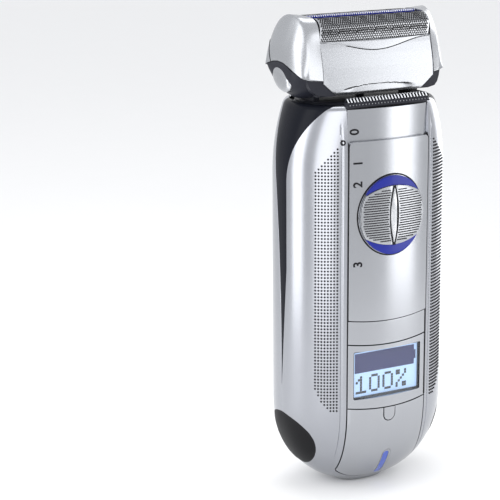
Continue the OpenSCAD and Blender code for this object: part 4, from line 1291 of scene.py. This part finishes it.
def make_end_cap(side):
    n = CAP_STEPS
    inner, crest = spline(CAP_INNER, n), spline(CAP_CREST, n)
    outer, base = [], []
    for k in range(n):
        y = crest[0][1] + (crest[-1][1] - crest[0][1]) * k / (n - 1)
        bulge = 28.8 + 0.4 * max(0.0, y / 11) - 2.3 * max(0.0, (-y - 1) / 10) ** 1.6
        outer.append((bulge, y, ear_line(y) + 0.2))
        yb = inner[0][1] + (inner[-1][1] - inner[0][1]) * k / (n - 1)
        base.append((CAP_IN, yb, ear_line(yb) + 0.2))
    outer, base = np.array(outer), np.array(base)
    outer[0], outer[-1] = crest[0], crest[-1]
    base[0], base[-1] = inner[0], inner[-1]
    rows = [inner, inner + (crest - inner) * 0.5 + np.array([0.0, -0.05, 0.12]),
            inner + (crest - inner) * 0.86]
    bow = np.sin(np.linspace(0, math.pi, n))
    seam_line = []
    for t, bulge in CAP_SIDE:
        row = crest + (outer - crest) * t
        row[:, 0] += bulge * bow
        rows.append(row)
        seam_line.append(row[CAP_SEAM] + (row[CAP_SEAM + 1] - row[CAP_SEAM]) * t)
    rows.append(base)
    verts, count = [], len(rows)
    for k in range(n):
        for row in rows:
            x, y, z = row[k]
            verts.append((side * x, y, z))
    faces = ring_faces(n, count)
    obj = mesh_object("cap_" + hand(side), verts, faces, WHITE_SILVER, smooth=28)
    add_bevel(obj, 0.3, segments=3, angle=28)
    piece(obj, "cassette", "silver", "end_cap_" + hand(side))
    path = spline(seam_line, 24)
    loops = []
    for k, point in enumerate(path):
        ahead = path[min(k + 1, len(path) - 1)] - path[max(k - 1, 0)]
        along = Vector(ahead).normalized()
        out = Vector((1.0, 0.0, 0.0))
        across = along.cross(out).normalized()
        out = across.cross(along).normalized()
        for j in range(8):
            a = 2 * math.pi * j / 8
            spot = Vector(point) + across * (0.22 * math.cos(a)) + out * (0.1 * math.sin(a))
            loops.append((side * spot.x, spot.y, spot.z))
    line = mesh_object("cap_seam_" + hand(side), loops, ring_faces(len(path), 8), INK_AND_GAP_SHADE, smooth=60,
                       merge=False)
    piece(line, "cassette", "black")


def smile(x):
    return 149.6 + 1.6 * (1 - math.cos(math.pi * min(1.0, abs(x) / 21.0)))


def cover_front(z):
    """How far forward the head's face is at a height; it leans back towards the foils."""
    points = ((135.7, -11.35), (136.6, -11.75), (138.6, -11.8), (141.0, -11.8), (144.5, -11.5),
              (148.0, -10.7), (151.0, -9.9), (153.6, -9.1), (156.0, -8.6))
    for (za, ya), (zb, yb) in zip(points, points[1:]):
        if z <= zb:
            return ya + (yb - ya) * max(0.0, (z - za) / (zb - za))
    return points[-1][1]


def make_head_cover(front):
    half = 21.05
    columns = sorted(set([round(half * (2 * k / 40 - 1), 3) for k in range(41)] + [-16.1, 16.1]))
    grid = []
    rows = 70
    for k in range(rows + 1):
        row = []
        for x in columns:
            low = 135.75 + max(0.0, abs(x) - 16.1) * 4.3 / 5
            z = low + (smile(x) - 0.22 - low) * k / rows
            arc = 138.7 - 1.3 * (x / 13.5) ** 2
            drop = arc - z
            lip = 0.0
            if front and drop > -0.2:
                lip = 0.5 * smoothstep(-0.2, 0.12, drop) * max(0.0, 1 - drop / 2.4)
                lip *= 1 - smoothstep(9.5, 14.5, abs(x))
            y = cover_front(z) + lip
            row.append((x, y if front else -y, z))
        grid.append(row)
    name = "cover_front" if front else "cover_rear"
    depth = [1.3 - 1.0 * smoothstep(0.5, 0.85, k / rows) for k in range(rows + 1)]
    obj = solid(name, grid, depth, WHITE_SILVER, smooth=40, bevel=0.12)
    return piece(obj, "cassette", "silver", "head_front_cover" if front else "head_rear_cover")


def foil_line(x):
    return 152.7 + 0.3 * (abs(x) / 21.0) ** 2


def make_foil_band(front):
    half = 21.1
    grid = []
    for k in range(7):
        row = []
        for j in range(41):
            x = half * (2 * j / 40 - 1)
            low, high = smile(x) + 0.08, foil_line(x)
            z = low + (high - low) * k / 6
            y = cover_front(z) - 0.15 * k / 6
            row.append((x, y if front else -y, z))
        grid.append(row)
    return solid("band", grid, 0.3, WHITE_SILVER, smooth=40, bevel=0.1)


def make_cassette():
    parts = [make_foil_band(True), make_foil_band(False)]
    for y in (-1.35, 1.35):
        parts.append(block("rail", (-20.9, y - 0.3, 155.0), (20.9, y + 0.3, 159.75), WHITE_SILVER,
                           bevel=0.15))
    for side in (-1, 1):
        low, high = sorted((side * 21.0, side * 21.28))
        parts.append(block("wall", (low, -9.6, 148.4), (high, 9.6, 153.0), WHITE_SILVER, bevel=0.2))
        parts.append(block("wall", (low, -8.2, 152.5), (high, 8.2, 156.0), WHITE_SILVER, bevel=0.2))
    verts, faces = joined(parts)
    body = mesh_object("cassette_frame", verts, faces, WHITE_SILVER, smooth=40)
    piece(body, "cassette", "silver", "foil_frame")


FOIL_Y, FOIL_Z, FOIL_R = 5.5, 156.4, 3.85
FOIL_HALF, FOIL_THICK = 20.95, 0.12
HOLE_ROW_PITCH, HOLE_FIRST_ROW, HOLE_PITCH, HOLE_SPAN, HOLE_TURN = 0.74, 0.45, 0.76, 27, 48


def foil_profile():
    """Outer line of the front foil in y and z, from its front edge over the top to its inner edge."""
    points = [(-8.85, 151.2), (-8.87, 152.6), (-8.95, 154.0)]
    for k in range(17):
        a = math.radians(172 - 160 * k / 16)
        points.append((-FOIL_Y + FOIL_R * math.cos(a), FOIL_Z + FOIL_R * math.sin(a)))
    points.append((-1.72, 155.4))
    return points


def make_foil(front):
    line = foil_profile()
    grid = []
    for j in range(25):
        x = FOIL_HALF * (2 * j / 24 - 1)
        grid.append([(x, y if front else -y, z) for y, z in line])
    body = "front_foil" if front else "rear_foil"
    sheet = solid(body + "_sheet", grid, FOIL_THICK, FOIL, centre=(0.0, -FOIL_Y if front else FOIL_Y),
                  smooth=40)
    piece(sheet, body, "foil", body)
    path = spline([(0.0, y, z) for y, z in line[1:-1]], 60)
    gaps = np.concatenate([[0.0], np.cumsum(np.linalg.norm(np.diff(path, axis=0), axis=1))])
    spots = []
    for r in range(int(gaps[-1] / HOLE_ROW_PITCH)):
        s = HOLE_FIRST_ROW + r * HOLE_ROW_PITCH
        k = int(np.searchsorted(gaps, s)) - 1
        k = max(0, min(len(path) - 2, k))
        t = (s - gaps[k]) / (gaps[k + 1] - gaps[k])
        p = path[k] + (path[k + 1] - path[k]) * t
        d = path[k + 1] - path[k]
        out = Vector((0.0, -d[2], d[1])).normalized()
        flip = 1 if front else -1
        for c in range(-HOLE_SPAN, HOLE_SPAN + 1):
            x = c * HOLE_PITCH + (HOLE_PITCH / 2 if r % 2 else 0.0)
            if abs(x) > 20.5:
                continue
            spin = math.radians(HOLE_TURN if (c // 3 + r // 4) % 3 else -HOLE_TURN)
            spots.append(((x, flip * (p[1] - out.y * 0.04), p[2] - out.z * 0.04),
                          (0.0, flip * out.y, out.z), spin))
    # Dark studs of painted shade stand for the foil's holes; the foil sheet itself has no holes.
    holes = studs(body + "_hole_shade", spots, RUBBER_DOTS_AND_SHADE, 0.3, 0.09, taper=0.95, sides=6,
                  stretch=(1.65, 0.95, 1.0))
    piece(holes, body, "foil")


SLIT_PITCH, SLIT_SPAN = 0.84, 24


def make_middle():
    bar = block("middle_bar", (-20.8, -1.0, 155.4), (20.8, 1.0, 160.55), BLUE, bevel=0.3)
    piece(bar, "middle", "blue", "middle_trimmer")
    up = (0.0, 0.0, 1.0)
    places = [k * SLIT_PITCH for k in range(-SLIT_SPAN, SLIT_SPAN + 1)]
    spots = [((x, 0.0, 160.52), up, math.pi / 4) for x in places]
    # Dark studs of painted shade stand for the slits; the bar itself has no slits.
    slit_shade = studs("middle_slit_shade", spots, DARK, 0.22, 0.08, taper=0.9, sides=4, stretch=(1.0, 1.0, 1.0))
    piece(slit_shade, "middle", "blue")
    edge = [((x + SLIT_PITCH / 2, y, 160.2), up, math.pi / 4) for x in places for y in (-0.86, 0.86)]
    guards = studs("middle_guards", edge, STEEL, 0.24, 0.42, taper=0.7, sides=4)
    piece(guards, "middle", "steel")


def cradle_side(side):
    stations = ((21.25, 12.0, 11.6), (23.0, 11.9, 10.8), (24.6, 11.5, 9.9), (26.0, 10.7, 8.9),
                (27.2, 9.5, 7.8), (28.1, 8.0, 6.6), (28.7, 6.3, 5.4), (28.95, 5.0, 4.6))
    n = 30
    loops = []
    for x, r, fore in stations:
        y_front = -fore
        while PIVOT_Z - r * math.sqrt(max(0.0, 1 - (y_front / fore) ** 2)) > ear_line(y_front) - 0.05:
            y_front += 0.15
        rear = r + (12.3 - r) * 0.9
        y_rear = rear * 0.995
        upper, lower = [], []
        for k in range(n):
            y = y_front + (y_rear - y_front) * k / (n - 1)
            top = ear_line(y) - 0.02
            reach = y / rear if y > 0 else y / fore
            upper.append((side * x, y, top))
            lower.append((side * x, y, min(top, PIVOT_Z - r * math.sqrt(max(0.0, 1 - reach * reach)))))
        loops += upper + lower[::-1]
    return loops, ring_faces(len(stations), 2 * n)


def make_cradle():
    parts = []
    for side in (-1, 1):
        verts, faces = cradle_side(side)
        parts.append(mesh_object("side", verts, faces, DARK, smooth=40))
        outline = [(side * x, z) for x, z in ((21.2, 141.0), (25.6, 141.0), (25.2, 139.2), (24.2, 137.3),
                                              (22.6, 136.2), (19.5, 135.75), (16.2, 135.75), (21.2, 139.9))]
        for fore, aft in ((-11.4, -7.6), (11.4, 7.6)):
            corner = prism_y("corner", outline, fore, aft)
            for v in corner.data.vertices[:len(outline)]:
                inset = max(0.0, abs(v.co.x) / MM - 21.2) * 0.52
                v.co.y -= math.copysign(inset * MM, fore)
            parts.append(corner)
    for y in (-9.7, 8.2):
        parts.append(block("sill", (-21.3, y, 135.7), (21.3, y + 1.5, 139.2), DARK))
    parts.append(block("keel", (-21.3, -8.4, 135.2), (21.3, 8.4, 136.1), DARK))
    verts, faces = joined(parts)
    body = mesh_object("cradle", verts, faces, DARK, smooth=32)
    piece(body, "head", "dark_plastic", "head_cradle")


RELEASE_Y, RELEASE_Z, RELEASE_TILT = 2.6, 140.7, math.radians(25)
RELEASE_HALF_Y, RELEASE_HALF_Z = 6.1, 3.9
RELEASE_INNER, RELEASE_RIM, RELEASE_DOME = 25.5, 28.15, 1.15


def make_release(side):
    rings, sides = 8, 44
    loops = []
    for r in range(rings):
        t = 1 - r / (rings - 0.4)
        lift = RELEASE_DOME * math.sqrt(1 - t ** 2.6) if r else 0.0
        for k in range(sides):
            a = 2 * math.pi * k / sides
            u, v = RELEASE_HALF_Y * t * math.cos(a), RELEASE_HALF_Z * t * math.sin(a)
            y = RELEASE_Y + u * math.cos(RELEASE_TILT) - v * math.sin(RELEASE_TILT)
            z = RELEASE_Z + u * math.sin(RELEASE_TILT) + v * math.cos(RELEASE_TILT)
            loops.append((side * (RELEASE_RIM + lift), y, z))
    start = [(side * RELEASE_INNER, loops[k][1], loops[k][2]) for k in range(sides)]
    obj = mesh_object("release_" + hand(side), start + loops, ring_faces(rings + 1, sides), WHITE_SILVER,
                      smooth=50)
    piece(obj, "release_" + hand(side), "silver", "release_button_" + hand(side))


SOCKET_HALF_X, SOCKET_HALF_Y = 5.8, 3.15


def make_inlet():
    sides = 48
    loops = []

    def oval(w, f, b, z):
        for k in range(sides):
            a = 2 * math.pi * k / sides
            c, s = squared(math.cos(a), NECK_POWER), squared(math.sin(a), NECK_POWER)
            loops.append((c * w, s * (f if s < 0 else b), z))

    def socket(z, shrink=0.0):
        for k in range(sides):
            a = 2 * math.pi * k / sides
            c, s = squared(math.cos(a), SOCKET_POWER), squared(math.sin(a), SOCKET_POWER)
            loops.append((c * (SOCKET_HALF_X - shrink), s * (SOCKET_HALF_Y - shrink), z))
    oval(7.3, 4.8, 5.2, 9.0)
    oval(7.3, 4.8, 5.2, 0.15)
    oval(7.0, 4.5, 4.9, 0.0)
    socket(0.0, -0.15)
    socket(0.3)
    socket(7.0)
    obj = mesh_object("inlet_socket", loops, ring_faces(6, sides), DARK, smooth=35)
    piece(obj, "root", "dark_plastic", "power_inlet")


# ---------------------------------------------------------------- assembly
make_front_casing()
make_rear_casing()
for which in (-1, 1):
    make_side_inlay(which)
    make_corner_pad(which)
    make_grip_dots(which)
    make_end_cap(which)
    make_release(which)
make_channel()
make_display()
make_lower_cover()
make_charge_light()
make_reset_key()
make_crescents()
make_knob()
make_knob_knurl_shade()
make_rib()
make_marks()
make_trimmer()
make_neck()
for is_front in (True, False):
    make_head_cover(is_front)
    make_foil(is_front)
make_cassette()
make_middle()
make_cradle()
make_inlet()

INSIDE = {
    "guide_plate": DARK, "neck_bracket": DARK, "chassis": DARK, "battery_cells": CELL,
    "circuit_board": BOARD, "motor": STEEL, "motor_shaft": STEEL, "drive_bridge": DARK,
    "inlet_pins": BRASS, "charging_contacts": BRASS, "case_screws": STEEL, "pivot_pins": STEEL,
    "middle_blade": STEEL, "cutter_drive": DARK, "cutter_block_front": STEEL,
    "cutter_block_rear": STEEL, "cutter_spring_front": STEEL, "cutter_spring_rear": STEEL,
}
for node_name, material in INSIDE.items():
    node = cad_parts[node_name]
    node.data.materials.clear()
    node.data.materials.append(material)


# ---------------------------------------------------------------- studio
def area_light(name, place, aim, size, power, color=(1.0, 1.0, 1.0)):
    data = bpy.data.lights.new(name, "AREA")
    data.shape = "RECTANGLE"
    data.size, data.size_y = size
    data.energy = power
    data.color = color
    lamp = link(bpy.data.objects.new(name, data))
    lamp.visible_camera = False
    away = Vector(place) - Vector(aim)
    lamp.matrix_world = Matrix.Translation(Vector(place)) @ away.to_track_quat("Z", "Y").to_matrix().to_4x4()
    return lamp


def radiance_power(radiance, area):
    return radiance * math.pi * area


def softbox(name, azimuth, distance, lift, size, radiance):
    """A soft panel standing near the floor; azimuth turns from the front towards the left."""
    angle = math.radians(azimuth)
    x, y = -math.sin(angle) * distance, -math.cos(angle) * distance
    z = lift + size[1] / 2
    area_light(name, (x, y, z), (0.0, 0.0, z * 0.9), size, radiance_power(radiance, size[0] * size[1]))


FLOOR_HALF = 6.0


def make_studio():
    size = FLOOR_HALF
    data = bpy.data.meshes.new("floor")
    corners = [(-size, -size, 0), (size, -size, 0), (size, size, 0), (-size, size, 0)]
    data.from_pydata(corners, [], [(0, 1, 2, 3)])
    floor = link(bpy.data.objects.new("floor", data))
    data.materials.append(finish("studio_floor", (0.9, 0.9, 0.9), (0.93, 0.93, 0.93), roughness=0.7,
                                 bump=0.0, specular=0.1))
    world = bpy.data.worlds.new("studio")
    bpy.context.scene.world = world
    world.use_nodes = True
    back = world.node_tree.nodes["Background"]
    back.inputs["Color"].default_value = (0.97, 0.98, 1.0, 1.0)
    back.inputs["Strength"].default_value = 0.96
    bpy.context.scene.view_settings.view_transform = "Standard"
    softbox("left", 97, 0.26, 0.0, (0.13, 0.3), 2.4)
    softbox("front_left", 40, 0.28, 0.0, (0.18, 0.26), 1.9)
    softbox("front_right", -40, 0.28, 0.0, (0.10, 0.26), 2.3)
    softbox("right", -110, 0.28, 0.0, (0.15, 0.3), 2.2)
    area_light("top", (0.0, 0.1, 0.8), (0.0, 0.0, 0.1), (0.5, 0.4), radiance_power(2.2, 0.5 * 0.4))


make_studio()
